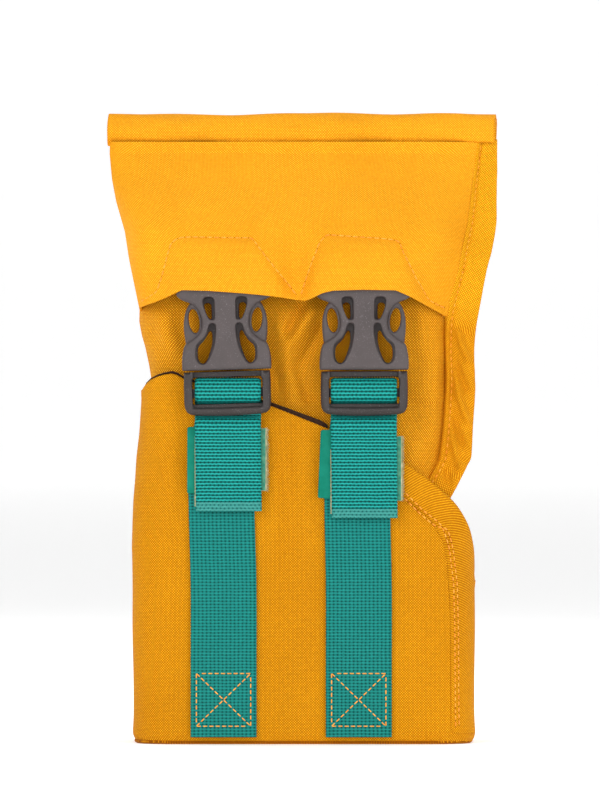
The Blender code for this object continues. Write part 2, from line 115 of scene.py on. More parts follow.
class Mat:
    def __init__(self, name, roughness=0.6, spec=0.4, sheen=0.0):
        self.m = bpy.data.materials.new(name)
        self.m.use_nodes = True
        self.t = self.m.node_tree
        self.b = self.t.nodes["Principled BSDF"]
        self.b.inputs["Roughness"].default_value = roughness
        self.b.inputs["Specular IOR Level"].default_value = spec
        self.b.inputs["Sheen Weight"].default_value = sheen
        self.b.inputs["Sheen Roughness"].default_value = 0.5

    def new(self, kind, **inputs):
        n = self.t.nodes.new(kind)
        for k, v in inputs.items():
            setattr(n, k, v)
        return n

    def link(self, a, b):
        self.t.links.new(a, b)

    def math(self, op, a, b=None, c=None, clamp=False):
        n = self.new("ShaderNodeMath", operation=op, use_clamp=clamp)
        for i, v in enumerate((a, b, c)):
            if v is None:
                continue
            if isinstance(v, (int, float)):
                n.inputs[i].default_value = v
            else:
                self.link(v, n.inputs[i])
        return n.outputs[0]

    def ramp(self, fac, stops, interp="LINEAR"):
        n = self.new("ShaderNodeValToRGB")
        n.color_ramp.interpolation = interp
        e = n.color_ramp.elements
        while len(e) < len(stops):
            e.new(0.5)
        for k, (pos, col) in enumerate(stops):
            e[k].position = pos
            e[k].color = col
        self.link(fac, n.inputs[0])
        return n.outputs[0]

    def noise(self, vec, scale, detail=3.0, rough=0.55, out=0):
        n = self.new("ShaderNodeTexNoise")
        n.inputs["Scale"].default_value = scale
        n.inputs["Detail"].default_value = detail
        n.inputs["Roughness"].default_value = rough
        if vec is not None:
            self.link(vec, n.inputs["Vector"])
        return n.outputs[out]

    def mix(self, fac, a, b, blend="MIX"):
        n = self.new("ShaderNodeMix", data_type="RGBA", blend_type=blend)
        for sock, v in ((n.inputs[0], fac), (n.inputs[6], a), (n.inputs[7], b)):
            if isinstance(v, (int, float, tuple)):
                sock.default_value = v
            else:
                self.link(v, sock)
        return n.outputs[2]

    def uv(self):
        n = self.new("ShaderNodeUVMap", uv_map="UVMap")
        s = self.new("ShaderNodeSeparateXYZ")
        self.link(n.outputs[0], s.inputs[0])
        return s.outputs[0], s.outputs[1], n.outputs[0]

    def obj(self):
        return self.new("ShaderNodeTexCoord").outputs["Object"]

    def bump(self, height, strength, distance, normal=None):
        n = self.new("ShaderNodeBump")
        n.inputs["Strength"].default_value = strength
        n.inputs["Distance"].default_value = distance
        self.link(height, n.inputs["Height"])
        if normal is not None:
            self.link(normal, n.inputs["Normal"])
        return n.outputs[0]


def weave_heights(M, u, v, pu, pv):
    """Plain weave from metric coordinates in mm: (height 0..1, is a warp crossing 0 or 1)."""
    a, b = M.math("DIVIDE", u, pu), M.math("DIVIDE", v, pv)
    fa, fb = M.math("FLOOR", a), M.math("FLOOR", b)
    parity = M.math("FLOORED_MODULO", M.math("ADD", fa, fb), 2.0)
    ha = M.math("SINE", M.math("MULTIPLY", M.math("FRACT", a), math.pi))
    hb = M.math("SINE", M.math("MULTIPLY", M.math("FRACT", b), math.pi))
    warp = M.math("MULTIPLY", M.math("POWER", ha, 0.55), M.math("MULTIPLY_ADD", hb, 0.6, 0.4))
    weft = M.math("MULTIPLY", M.math("POWER", hb, 0.55), M.math("MULTIPLY_ADD", ha, 0.6, 0.4))
    weft = M.math("MULTIPLY", weft, 0.44)
    inv = M.math("SUBTRACT", 1.0, parity)
    return M.math("ADD", M.math("MULTIPLY", warp, parity), M.math("MULTIPLY", weft, inv)), parity


def fabric(name, hollow_shade, mid, crest_highlight, pu=0.49, pv=0.50, rough=0.66, relief=0.00016, wave=0.10, weft=0.62, shade=None, blotch=0.93):
    M = Mat(name, roughness=rough, spec=0.05)
    u, v, uvw = M.uv()
    ob = M.obj()
    # the yarns wander a little
    u2 = M.math("ADD", u, M.math("MULTIPLY", M.math("SUBTRACT", M.noise(ob, 55.0, 2.0), 0.5), wave))
    v2 = M.math("ADD", v, M.math("MULTIPLY", M.math("SUBTRACT", M.noise(ob, 43.0, 2.0), 0.5), wave))
    h, parity = weave_heights(M, u2, v2, pu, pv)
    # the colour follows the yarn height: painted shade in the hollows between yarns, painted highlight on the yarn
    # crests
    col = M.ramp(h, [(0.0, hollow_shade), (0.32, hollow_shade), (weft, mid), (1.0, crest_highlight)])
    big = M.noise(ob, 22.0, 3.0)
    tone = M.ramp(big, [(0.30, (blotch, blotch - 0.03, blotch - 0.08, 1)), (0.70, (1.04, 1.04, 1.04, 1))])
    col = M.mix(1.0, col, tone, "MULTIPLY")
    fleck = M.noise(ob, 1100.0, 1.0)
    tone2 = M.ramp(fleck, [(0.35, (0.92, 0.90, 0.86, 1)), (0.65, (1.05, 1.05, 1.05, 1))])
    col = M.mix(1.0, col, tone2, "MULTIPLY")
    if shade:
        z = M.new("ShaderNodeSeparateXYZ")
        M.link(ob, z.inputs[0])
        fac = M.math("DIVIDE", M.math("SUBTRACT", z.outputs[2], shade[0]), shade[1] - shade[0], clamp=True)
        col = M.mix(fac, col, M.mix(1.0, col, shade[2], "MULTIPLY"))
    M.link(col, M.b.inputs["Base Color"])
    M.link(M.math("MULTIPLY_ADD", h, -0.12, rough + 0.08), M.b.inputs["Roughness"])
    M.link(M.bump(h, 0.8, relief), M.b.inputs["Normal"])
    return M.m


def webbing(name, hollow_shade, mid, crest_highlight, rib=1.24, bead=1.54, stagger=0.5, pit_size=1.0, valley=0.35, shine=0.22, pit_depth=0.85):
    M = Mat(name, roughness=0.55, spec=shine)
    u, v, _ = M.uv()
    ob = M.obj()
    j = M.math("MULTIPLY", M.math("SUBTRACT", M.noise(ob, 210.0, 2.0), 0.5), 0.26)
    j2 = M.math("MULTIPLY", M.math("SUBTRACT", M.noise(ob, 170.0, 2.0), 0.5), 0.30)
    a = M.math("DIVIDE", M.math("ADD", v, j), rib)
    r2 = M.math("FLOOR", M.math("ADD", a, 0.5))
    off = M.math("MULTIPLY", M.math("FLOORED_MODULO", r2, 2.0), stagger)
    du = M.math("SUBTRACT", M.math("FRACT", M.math("ADD", M.math("DIVIDE", M.math("ADD", u, j2), bead), off)), 0.5)
    dv = M.math("SUBTRACT", M.math("FRACT", M.math("ADD", a, 0.5)), 0.5)
    # an ellipse round each pit, in mm
    eu = M.math("DIVIDE", M.math("MULTIPLY", du, bead), 0.31 * pit_size)
    ev = M.math("DIVIDE", M.math("MULTIPLY", dv, rib), 0.31 * pit_size)
    rr = M.math("ADD", M.math("MULTIPLY", eu, eu), M.math("MULTIPLY", ev, ev))
    pit = M.math("EXPONENT", M.math("MULTIPLY", rr, -1.0))
    ridge_ = M.math("POWER", M.math("ABSOLUTE", M.math("SINE", M.math("MULTIPLY", a, math.pi))), 0.7)
    # the yarns run slanting over each rib
    tw = M.math("SINE", M.math("MULTIPLY", M.math("ADD", M.math("DIVIDE", u, 0.385), M.math("MULTIPLY", a, 1.3)), 2 * math.pi))
    h = M.math("MULTIPLY_ADD", ridge_, valley, 0.92 - valley)
    h = M.math("ADD", h, M.math("MULTIPLY", M.math("MULTIPLY", tw, ridge_), 0.07))
    h = M.math("SUBTRACT", h, M.math("MULTIPLY", pit, pit_depth))
    # the colour follows the height: painted shade in the pits and between the ribs, painted highlight on the rib crests
    col = M.ramp(h, [(0.05, hollow_shade), (0.50, mid), (0.72, mid), (0.97, crest_highlight)])
    fl = M.ramp(M.noise(ob, 1500.0, 2.0), [(0.3, (0.82, 0.86, 0.86, 1)), (0.7, (1.12, 1.10, 1.10, 1))])
    col = M.mix(1.0, col, fl, "MULTIPLY")
    M.link(col, M.b.inputs["Base Color"])
    M.link(M.bump(h, 0.9, 0.00030), M.b.inputs["Normal"])
    return M, col


def plastic(name, low, high):
    M = Mat(name, roughness=0.5, spec=0.30)
    ob = M.obj()
    fine = M.noise(ob, 2600.0, 2.0, 0.6)
    mid = M.noise(ob, 60.0, 3.0)
    # light grey specks mixed into the colour: painted glints of the grained plastic
    painted_glint = M.math("GREATER_THAN", M.noise(ob, 3300.0, 0.0), 0.76)
    col = M.ramp(mid, [(0.3, low), (0.7, high)])
    col = M.mix(M.math("MULTIPLY", painted_glint, 0.25), col, lin(176, 170, 172))
    M.link(col, M.b.inputs["Base Color"])
    M.link(M.math("MULTIPLY_ADD", fine, 0.22, 0.42), M.b.inputs["Roughness"])
    M.link(M.bump(fine, 0.4, 0.00007), M.b.inputs["Normal"])
    return M.m


ORANGE = fabric("pouch_weave", lin(172, 98, 0), lin(232, 151, 0), lin(250, 214, 50), relief=0.00018)
YOKE = fabric("yoke_weave", lin(212, 132, 0), lin(244, 166, 16), lin(255, 214, 84), relief=0.00010)
# the throat is the pouch's cloth with its colour raised: painted light that offsets the shade under the yoke and
# buckles
THROAT_BRIGHTENED = fabric("throat_weave_brightened", lin(176, 86, 0), lin(255, 172, 0), lin(255, 240, 76), relief=0.00024, pu=0.50, pv=0.52)
FLANGE = fabric("flange_weave", lin(186, 102, 0), lin(250, 166, 0), lin(255, 226, 60), relief=0.00020, shade=(0.158, 0.168, (1.14, 1.30, 1.6, 1)), blotch=0.86)
BASE = fabric("base_weave", lin(130, 70, 0), lin(186, 114, 4), lin(224, 156, 24))
TEAL = webbing("webbing_ribbed", lin(0, 36, 33), lin(0, 93, 87), lin(38, 174, 166), valley=0.50, shine=0.10, pit_depth=0.62, stagger=0.36)[0].m
TEAL_FLAT = webbing("webbing_flat", lin(0, 46, 42), lin(0, 98, 92), lin(24, 136, 128), rib=1.20, bead=1.52, stagger=0.0, pit_size=0.95, valley=0.20, shine=0.12)[0].m
TEAL_END = webbing("webbing_sealed", lin(0, 66, 61), lin(10, 106, 99), lin(60, 148, 140), pit_size=0.8, valley=0.18, shine=0.25)[0].m
PLASTIC = plastic("buckle_plastic_grain", lin(68, 61, 61), lin(78, 70, 70))
# the male half is the same plastic as the female half made darker: painted shade of its recessed, overhung frame
PLASTIC_SHADED = plastic("male_plastic_grain_shaded", lin(46, 41, 40), lin(56, 49, 48))

M = Mat("stitch_thread", roughness=0.5, spec=0.3)
ob = M.obj()
M.link(M.ramp(M.noise(ob, 900.0, 2.0), [(0.3, lin(232, 132, 24)), (0.7, lin(255, 182, 74))]), M.b.inputs["Base Color"])
M.link(M.bump(M.noise(ob, 2500.0, 2.0), 0.5, 0.0001), M.b.inputs["Normal"])
THREAD = M.m

# dark plugs set in each needle hole: painted shade inside the holes
M = Mat("needle_hole_shade", roughness=0.9, spec=0.1)
ob = M.obj()
M.link(M.ramp(M.noise(ob, 700.0, 2.0), [(0.3, lin(96, 34, 6)), (0.7, lin(140, 58, 10))]), M.b.inputs["Base Color"])
HOLE_SHADE = M.m

# near-black: the lining's own dark colour and painted shade of the gap under the rim
M = Mat("lining_weave_and_shade", roughness=0.75, spec=0.2)
ob = M.obj()
M.link(M.ramp(M.noise(ob, 1200.0, 3.0), [(0.3, lin(34, 20, 12)), (0.7, lin(66, 42, 28))]), M.b.inputs["Base Color"])
M.link(M.bump(M.noise(ob, 1500.0, 2.0), 0.6, 0.0001), M.b.inputs["Normal"])
LINING_AND_SHADE = M.m

M = Mat("hook_tape", roughness=0.60, spec=0.08)
ob = M.obj()
M.link(M.ramp(M.noise(ob, 160.0, 3.0), [(0.3, lin(4, 108, 88)), (0.7, lin(20, 126, 106))]), M.b.inputs["Base Color"])
M.link(M.bump(M.noise(ob, 1800.0, 2.0), 0.4, 0.0001), M.b.inputs["Normal"])
HOOK = M.m

M = Mat("loop_tape", roughness=0.9, spec=0.1)
ob = M.obj()
M.link(M.ramp(M.noise(ob, 520.0, 4.0), [(0.30, lin(128, 138, 104)), (0.50, lin(158, 154, 118)), (0.75, lin(196, 182, 148))]), M.b.inputs["Base Color"])
M.link(M.bump(M.noise(ob, 900.0, 4.0), 0.9, 0.0004), M.b.inputs["Normal"])
LOOP = M.m

M = Mat("loop_tape_back", roughness=0.8, spec=0.1)
ob = M.obj()
M.link(M.ramp(M.noise(ob, 700.0, 3.0), [(0.3, lin(38, 116, 98)), (0.7, lin(88, 144, 118))]), M.b.inputs["Base Color"])
M.link(M.bump(M.noise(ob, 1500.0, 3.0), 0.6, 0.0002), M.b.inputs["Normal"])
LOOP_BACK = M.m

M = Mat("stiffener_strip", roughness=0.5, spec=0.3)
ob = M.obj()
M.link(M.ramp(M.noise(ob, 300.0, 2.0), [(0.3, lin(120, 120, 120)), (0.7, lin(150, 150, 150))]), M.b.inputs["Base Color"])
STRIP = M.m


# ------------------------------------------------------------------ mesh helpers

def grid_mesh(name, P, uv, mat, wrap=False, flip=False, centre=None):
    """P is rows x columns x 3 in drawn mm, uv the same in mm. wrap closes the columns."""
    rows, cols = P.shape[:2]
    verts = W(P.reshape(-1, 3))
    # the faces look away from the middle of the bag, so that thickness goes inwards
    du = P[:-1, 1:] - P[:-1, :-1]
    dv = P[1:, :-1] - P[:-1, :-1]
    nn = np.cross(du, dv)
    away = P[:-1, :-1] - (centre if centre is not None else P.reshape(-1, 3).mean(0) if wrap else np.array([0.0, 300.0, 110.0]))
    if wrap:
        away = away * np.array([1.0, 1.0, 0.0])
    flip = bool((nn * away).sum() < 0)
    idx = np.arange(rows * cols).reshape(rows, cols)
    span = cols if wrap else cols - 1
    faces, uvs = [], []
    width = uv[0, -1, 0] + (uv[0, 1, 0] - uv[0, 0, 0]) if wrap else 0
    for j in range(rows - 1):
        for i in range(span):
            k = (i + 1) % cols
            quad = [idx[j, i], idx[j, k], idx[j + 1, k], idx[j + 1, i]]
            uk0 = uv[j, k].copy(); uk1 = uv[j + 1, k].copy()
            if wrap and k == 0:
                uk0[0] = uk1[0] = width
            q = [uv[j, i], uk0, uk1, uv[j + 1, i]]
            if flip:
                quad, q = quad[::-1], q[::-1]
            faces.append(quad); uvs.extend(q)
    mesh = bpy.data.meshes.new(name)
    mesh.from_pydata(verts.tolist(), [], faces)
    layer = mesh.uv_layers.new(name="UVMap")
    layer.data.foreach_set("uv", np.array(uvs, np.float32).reshape(-1))
    mesh.materials.append(mat)
    mesh.shade_smooth()
    obj = bpy.data.objects.new(name, mesh)
    bpy.context.scene.collection.objects.link(obj)
    return obj


def thicken(obj, mm, offset=-1.0, bevel=0.0):
    s = obj.modifiers.new("Thickness", "SOLIDIFY")
    s.thickness = mm * 0.001
    s.offset = offset
    s.use_even_offset = False
    s.use_rim = True
    return obj


def put(obj, body, nodes=()):
    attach(obj, body)
    if nodes:
        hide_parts(*nodes)
    return obj


def rounded(xl, xr, yf, yb, r, nf=60, nc=10, ns=16):
    """Points round a rounded rectangle from the middle of the back, going by the left side, the front, the right side."""
    r = min(r, (xr - xl) / 2 - 0.2, (yb - yf) / 2 - 0.2)
    segs = []
    cx = (xl + xr) / 2
    def line(a, b, n):
        t = np.linspace(0, 1, n, endpoint=False)[:, None]
        segs.append(np.array(a) + (np.array(b) - np.array(a)) * t)
    def arc(x, y, a0, a1, n):
        t = np.radians(np.linspace(a0, a1, n, endpoint=False))
        segs.append(np.stack([x + r * np.cos(t), y + r * np.sin(t)], 1))
    line((cx, yb), (xl + r, yb), nf // 2)
    arc(xl + r, yb - r, 90, 180, nc)
    line((xl, yb - r), (xl, yf + r), ns)
    arc(xl + r, yf + r, 180, 270, nc)
    line((xl + r, yf), (xr - r, yf), nf)
    arc(xr - r, yf + r, 270, 360, nc)
    line((xr, yf + r), (xr, yb - r), ns)
    arc(xr - r, yb - r, 0, 90, nc)
    line((xr - r, yb), (cx, yb), nf // 2)
    return np.vstack(segs)


def arclen(ring):
    d = np.linalg.norm(np.diff(np.vstack([ring, ring[:1]]), axis=0), axis=1)
    return np.concatenate([[0], np.cumsum(d)])[:-1]


def ridge(x, z, a, b, width, height, fade=0.25):
    """A soft fold along the line a to b in the front plane, in mm, dying out towards both ends."""
    ax, az = a; bx, bz = b
    dx, dz = bx - ax, bz - az
    L2 = dx * dx + dz * dz
    t = ((x - ax) * dx + (z - az) * dz) / L2
    d = np.hypot(x - (ax + t.clip(0, 1) * dx), z - (az + t.clip(0, 1) * dz))
    end = sm(np.clip(t / fade, 0, 1)) * sm(np.clip((1 - t) / fade, 0, 1))
    return height * np.exp(-(d / width) ** 2) * end


def swell(x, z, x0, z0, rx, rz, height):
    return height * np.exp(-((x - x0) / rx) ** 2 - ((z - z0) / rz) ** 2)


def wavy(x, z, seed, scale, height):
    r = np.random.default_rng(seed)
    out = np.zeros_like(np.asarray(x, float))
    for _ in range(7):
        k = r.uniform(0.5, 1.6) * 2 * math.pi / scale
        a = r.uniform(0, 2 * math.pi)
        out = out + np.sin(k * (np.cos(a) * x + np.sin(a) * z) + r.uniform(0, 6.28)) * r.uniform(0.3, 1.0)
    return out * height / 3.0


def stitches(name, line, normal, body, length=2.3, gap=0.55, radius=0.20, sink=0.05, holes=True, start=0.0, hole_r=0.16):
    """Thread stitches along a line of points (drawn mm): each a short capsule that dips into its needle holes, whose
    dark plugs are painted shade.
    normal gives the outward direction for each point."""
    line = respace(np.hstack([np.asarray(line, float), np.asarray(normal, float)]), 0.15)
    pos, nor = line[:, :3], line[:, 3:]
    nor = nor / np.linalg.norm(nor, axis=1)[:, None]
    step = length + gap
    per = int(step / 0.15)
    nl = int(length / 0.15)
    verts, faces, hv, hf = [], [], [], []
    i = int(start / 0.15)
    while i + nl < len(pos):
        n_side, n_ring = 6, 7
        base = len(verts)
        for k in range(n_ring):
            t = k / (n_ring - 1)
            at = i + int(round(t * nl))
            p, n = pos[at], nor[at]
            tang = pos[min(at + 2, len(pos) - 1)] - pos[max(at - 2, 0)]
            tang = tang / (np.linalg.norm(tang) + 1e-9)
            side = np.cross(tang, n)
            lift = math.sin(math.pi * t) ** 0.5 * radius * 0.9 - sink - (0.25 if k in (0, n_ring - 1) else 0)
            rr = radius * (0.55 if k in (0, n_ring - 1) else 1.0)
            for s in range(n_side):
                a = 2 * math.pi * s / n_side
                verts.append(p + n * (lift + rr * math.sin(a)) + side * rr * 1.1 * math.cos(a))
        for k in range(n_ring - 1):
            for s in range(n_side):
                t2 = (s + 1) % n_side
                faces.append([base + k * n_side + s, base + k * n_side + t2, base + (k + 1) * n_side + t2, base + (k + 1) * n_side + s])
        faces.append([base + s for s in range(n_side)][::-1])
        faces.append([base + (n_ring - 1) * n_side + s for s in range(n_side)])
        if holes:
            at = min(i + nl + int(gap / 0.3), len(pos) - 1)
            p, n = pos[at], nor[at]
            tang = pos[min(at + 2, len(pos) - 1)] - pos[max(at - 2, 0)]
            tang = tang / (np.linalg.norm(tang) + 1e-9)
            side = np.cross(tang, n)
            hb = len(hv)
            for lift in (0.06, -0.25):
                for s in range(8):
                    a = 2 * math.pi * s / 8
                    hv.append(p + n * lift + (tang * math.cos(a) * 1.25 + side * math.sin(a)) * hole_r)
            hf.append([hb + s for s in range(8)])
            hf.append([hb + 8 + s for s in range(8)][::-1])
            for s in range(8):
                hf.append([hb + 8 + s, hb + 8 + (s + 1) % 8, hb + (s + 1) % 8, hb + s])
        i += per
    made = []
    for nm, v, f, mat in ((name, verts, faces, THREAD), (name + "_holes", hv, hf, HOLE_SHADE)):
        if not v:
            continue
        mesh = bpy.data.meshes.new(nm)
        mesh.from_pydata(W(np.array(v)).tolist(), [], f)
        bm = bmesh.new(); bm.from_mesh(mesh)
        bmesh.ops.recalc_face_normals(bm, faces=bm.faces[:])
        bm.to_mesh(mesh); bm.free()
        mesh.materials.append(mat)
        mesh.shade_smooth()
        o = bpy.data.objects.new(nm, mesh)
        bpy.context.scene.collection.objects.link(o)
        put(o, body)
        made.append(o)
    return made


# ------------------------------------------------------------------ shared shape tables (drawn mm)

RIM = ((-65.8, 133.0), (-63.4, 133.6), (-62.0, 134.8), (-60.8, 136.6), (-58.5, 138.6), (-55.7, 139.8), (-52.9, 140.5), (-50.4, 140.8), (-48.4, 140.2),
       (-46.4, 138.9), (-42.0, 137.4), (-13.0, 128.5), (8.1, 120.1), (24.0, 113.2), (37.4, 107.1), (46.9, 100.6), (55.1, 93.5), (59.1, 88.5),
       (62.2, 82.4), (63.7, 76.4), (64.3, 70.5), (64.6, 62.0))
HEM = ((-72.0, 164.5), (-62.6, 165.8), (-59.5, 166.8), (-56.7, 167.7), (-53.1, 169.0), (-47.9, 171.3), (-45.2, 172.3), (-35.6, 172.0), (-23.9, 171.1), (-16.3, 170.4),
       (-8.3, 169.4), (-2.7, 168.5), (0.0, 168.3), (1.9, 169.0), (5.9, 171.1), (9.9, 172.1), (20.1, 172.4), (32.6, 172.2), (37.5, 170.2), (45.5, 166.4), (53.8, 162.2), (60.0, 161.0))
LEFT_EDGE = ((0.0, 64.6), (3.0, 65.2), (55.0, 65.5), (75.0, 65.8), (93.0, 65.0), (100.0, 64.4), (109.0, 63.9), (118.0, 62.9), (141.0, 61.6))
PF, PB, PL, PR = -29.0, 31.0, -66.4, 65.1


def rimz(x):
    return lerpv(RIM, x)


# ------------------------------------------------------------------ outer pouch

def pouch_section(z):
    """Ring of the pouch at height z (before the rim is cut), rounded in at the bottom."""
    tuck = 3.2 * (1 - sm(z / 5.0)) if z < 5.0 else 0.0
    return rounded(PL + tuck, PR - tuck, PF + tuck, PB - tuck, 15.0, nf=110, nc=16, ns=22)


def pouch_relief(x, y, z, nx, ny):
    """How far the cloth stands out from its plain section, mm. It never stands out under the webbing."""
    front = np.clip(-ny, 0, 1) ** 2
    clear = 1 - np.exp(-((x + 30.5) / 16.0) ** 4) - np.exp(-((x - 21.0) / 16.0) ** 4)
    clear = np.clip(clear, 0, 1)
    f = wavy(x, z, 3, 60, 0.35) - 0.35
    f = f + ridge(x, z, (-62, 118), (-44, 92), 5.0, 0.8)
    f = f + ridge(x, z, (-14, 122), (4, 70), 6.0, -0.7)
    f = f + ridge(x, z, PX(283, 404), PX(291, 600), 2.6, -0.9) + ridge(x, z, PX(303, 415), PX(309, 640), 3.2, 0.8) + ridge(x, z, PX(273, 440), PX(271, 640), 3.0, 0.6)
    f = f + ridge(x, z, PX(163, 385), PX(170, 560), 4.0, 0.6) + ridge(x, z, PX(178, 400), PX(181, 560), 3.0, -0.5)
    f = f + ridge(x, z, PX(404, 500), PX(412, 700), 5.0, 0.6) + ridge(x, z, PX(428, 540), PX(424, 700), 4.0, -0.5)
    f = f + ridge(x, z, (40, 95), (46, 30), 7.0, 0.5)
    f = f - swell(x, z, -5, 60, 10, 50, 0.6)
    f = f * clear * front
    back = np.clip(ny, 0, 1) ** 2
    g = wavy(x, z, 11, 55, 0.7) + swell(x, z, 0, 55, 45, 45, 1.6) - 1.4
    side = np.clip(np.abs(nx), 0, 1) ** 2
    h = wavy(y, z, 5, 50, 0.5) - 0.5 + 0.0 * x
    return f + g * back + h * side * 0.7


def loop_surface(ring_of, zs_of, rows, relief, uv_ref):
    P = []
    for t in rows:
        P.append(zs_of(t))
    P = np.array(P)
    return P


ref = pouch_section(60.0)
s_ref = arclen(ref)
ts = np.concatenate([np.linspace(0, 0.06, 8, endpoint=False), np.linspace(0.06, 0.94, 100, endpoint=False), np.linspace(0.94, 1, 12)])
rows = []
for t in ts:
    zt = rimz(ref[:, 0])
    for _ in range(4):
        zt = np.where(ref[:, 0] < 0, rimz(ref[:, 0] * lerpv(LEFT_EDGE, zt) / 65.8), zt)
    zz = 0.4 + (zt - 0.4) * t
    base = np.stack([ref[:, 0], ref[:, 1], zz], 1)
    tuck = np.where(zz < 5.0, 3.0 * (1 - np.sqrt(np.clip(1 - (1 - zz / 5.0) ** 2, 0, 1))), 0.0)
    cxy = np.array([(PL + PR) / 2, (PF + PB) / 2])
    nxt, prv = np.roll(ref, -1, 0), np.roll(ref, 1, 0)
    tang = nxt - prv
    nrm = np.stack([tang[:, 1], -tang[:, 0]], 1)
    nrm = nrm / np.linalg.norm(nrm, axis=1)[:, None]
    if ((ref - cxy) * nrm).sum() < 0:
        nrm = -nrm
    rel = pouch_relief(ref[:, 0], ref[:, 1], zz, nrm[:, 0], nrm[:, 1]) * sm(zz / 12.0) * sm((zt - zz) / 5.0 + 0.15)
    xy = ref + nrm * (rel - tuck)[:, None]
    x = np.where(xy[:, 0] < 0, xy[:, 0] * lerpv(LEFT_EDGE, zz) / 65.8, xy[:, 0])
    rows.append(np.stack([x, xy[:, 1], zz], 1))
P = np.array(rows)
UV = np.zeros(P.shape[:2] + (2,))
UV[..., 0] = s_ref[None, :]
UV[..., 1] = P[..., 2]
pouch = grid_mesh("pouch_fabric_shell", P, UV, ORANGE, wrap=True)
thicken(pouch, 1.2, offset=-1.0)
put(pouch, "holster", ["pouch_shell"])
POUCH_P = P


def pouch_point(x, z, out=0.0):
    """A point on the pouch's front or right corner, from the drawn front-plane x and z, pushed out along the normal."""
    x = np.asarray(x, float)
    z = np.asarray(z, float)
    a = PR - 15.0
    phi = np.arcsin(np.clip((x - a) / 15.0, 0, 0.9995))
    y = np.where(x > a, PF + 15.0 - 15.0 * np.cos(phi), PF)
    nx = np.where(x > a, np.sin(phi), 0.0)
    ny = np.where(x > a, -np.cos(phi), -1.0)
    rel = pouch_relief(x, y, z, nx, ny) * sm((rimz(x) - z) / 5.0 + 0.15) * sm(z / 12.0)
    return np.stack([x + nx * (rel + out), y + ny * (rel + out), z], -1), np.stack([nx, ny, np.zeros_like(nx)], -1)


# base panel with a soft rolled edge
bring = rounded(PL + 1.4, PR - 1.2, PF + 1.0, PB - 1.0, 14.0, nf=60, nc=12, ns=12)
bc = bring.mean(0)
rows = []
for k, (s, z) in enumerate(((0.02, 0.0), (0.35, 0.0), (0.7, 0.0), (0.93, 0.0), (0.985, 0.05), (1.0, 0.6), (1.0, 1.3), (0.985, 1.95), (0.9, 2.1), (0.5, 2.1), (0.02, 2.1))):
    q = bc + (bring - bc) * s
    rows.append(np.stack([q[:, 0], q[:, 1], np.full(len(q), z)], 1))
P = np.array(rows)
UV = P[..., :2].copy()
base = grid_mesh("pouch_base_panel", P, UV, BASE, wrap=True)
bm = bmesh.new(); bm.from_mesh(base.data)
bmesh.ops.holes_fill(bm, edges=[e for e in bm.edges if e.is_boundary], sides=0)
bmesh.ops.recalc_face_normals(bm, faces=bm.faces[:])
bm.to_mesh(base.data); bm.free()
base.data.shade_smooth()
put(base, "holster", ["pouch_base"])

# turned hem down the right of the rim: a doubled band whose outer side is the rim itself
rim_edge = spline([(x, float(rimz(x))) for x in (30.0, 37.4, 46.9, 55.1, 59.1, 62.2, 63.7, 64.3)] + [(64.5, 55.0), (64.5, 20.0), (64.5, 4.0)], 0.6)
inner = spline([PX(396, 492), PX(403, 498), PX(412, 505), PX(424.6, 515), PX(432, 523), PX(438, 533), PX(443.6, 544), PX(447, 562), PX(448.6, 586), PX(450, 600), PX(451, 640), PX(451.5, 733)], 0.6)
n = 220
rim_edge, inner = [np.stack([np.interp(np.linspace(0, 1, n), np.linspace(0, 1, len(q)), q[:, k]) for k in range(2)], 1) for q in (rim_edge, inner)]
m = 26
prof = []
rows_f = []
for i in range(m):
    w = i / (m - 1)
    q = inner + (rim_edge - inner) * w
    lift = 0.70 * (1 - (1 - min(1.0, w * m / 3.5)) ** 2) * (1 - max(0.0, (w - 0.93) / 0.07) ** 2 * 0.6) + 0.02
    crease = -0.55 * np.exp(-((q[:, 1] - 81.5 - 1.0 * (q[:, 0] - 58)) / 2.2) ** 2) + wavy(q[:, 0], q[:, 1], 8, 22, 0.16)
    pt, _ = pouch_point(q[:, 0], q[:, 1], lift + crease * (1 - abs(2 * w - 1) ** 4))
    rows_f.append(pt)
P = np.array(rows_f).transpose(1, 0, 2)
along = np.concatenate([[0], np.cumsum(np.linalg.norm(np.diff(P[:, m // 2], axis=0), axis=1))])
across = np.concatenate([np.zeros((n, 1)), np.cumsum(np.linalg.norm(np.diff(P, axis=1), axis=2), axis=1)], 1)
UV = np.stack([across, np.repeat(along[:, None], m, 1)], -1)
hem = grid_mesh("pouch_side_hem", P, UV, ORANGE, flip=False)
thicken(hem, 0.9, offset=-1.0)
put(hem, "holster", ())

for k, shift in enumerate(((0.0, 0.0), (2.0, 1.2))):
    pts = [PX(396, 484.5), PX(403, 491), PX(408, 496), PX(423.5, 511), PX(437.5, 522), PX(442.5, 530), PX(448, 548), PX(450, 564), PX(451.4, 575), PX(452.5, 585), PX(453, 600), PX(454, 640), PX(454.5, 730)]
    pts = [(x + 0.2 - 0.9 * k if i < 5 else x + 0.3 + 1.3 * k, z - 1.5 * k if i < 5 else z) for i, (x, z) in enumerate(pts)]
    q = spline(pts, 0.3)
    pt, nr = pouch_point(q[:, 0], q[:, 1], 0.75)
    stitches(f"hem_stitch_{k}", pt, nr, "holster", length=1.75, gap=0.65, start=0.6 * k)

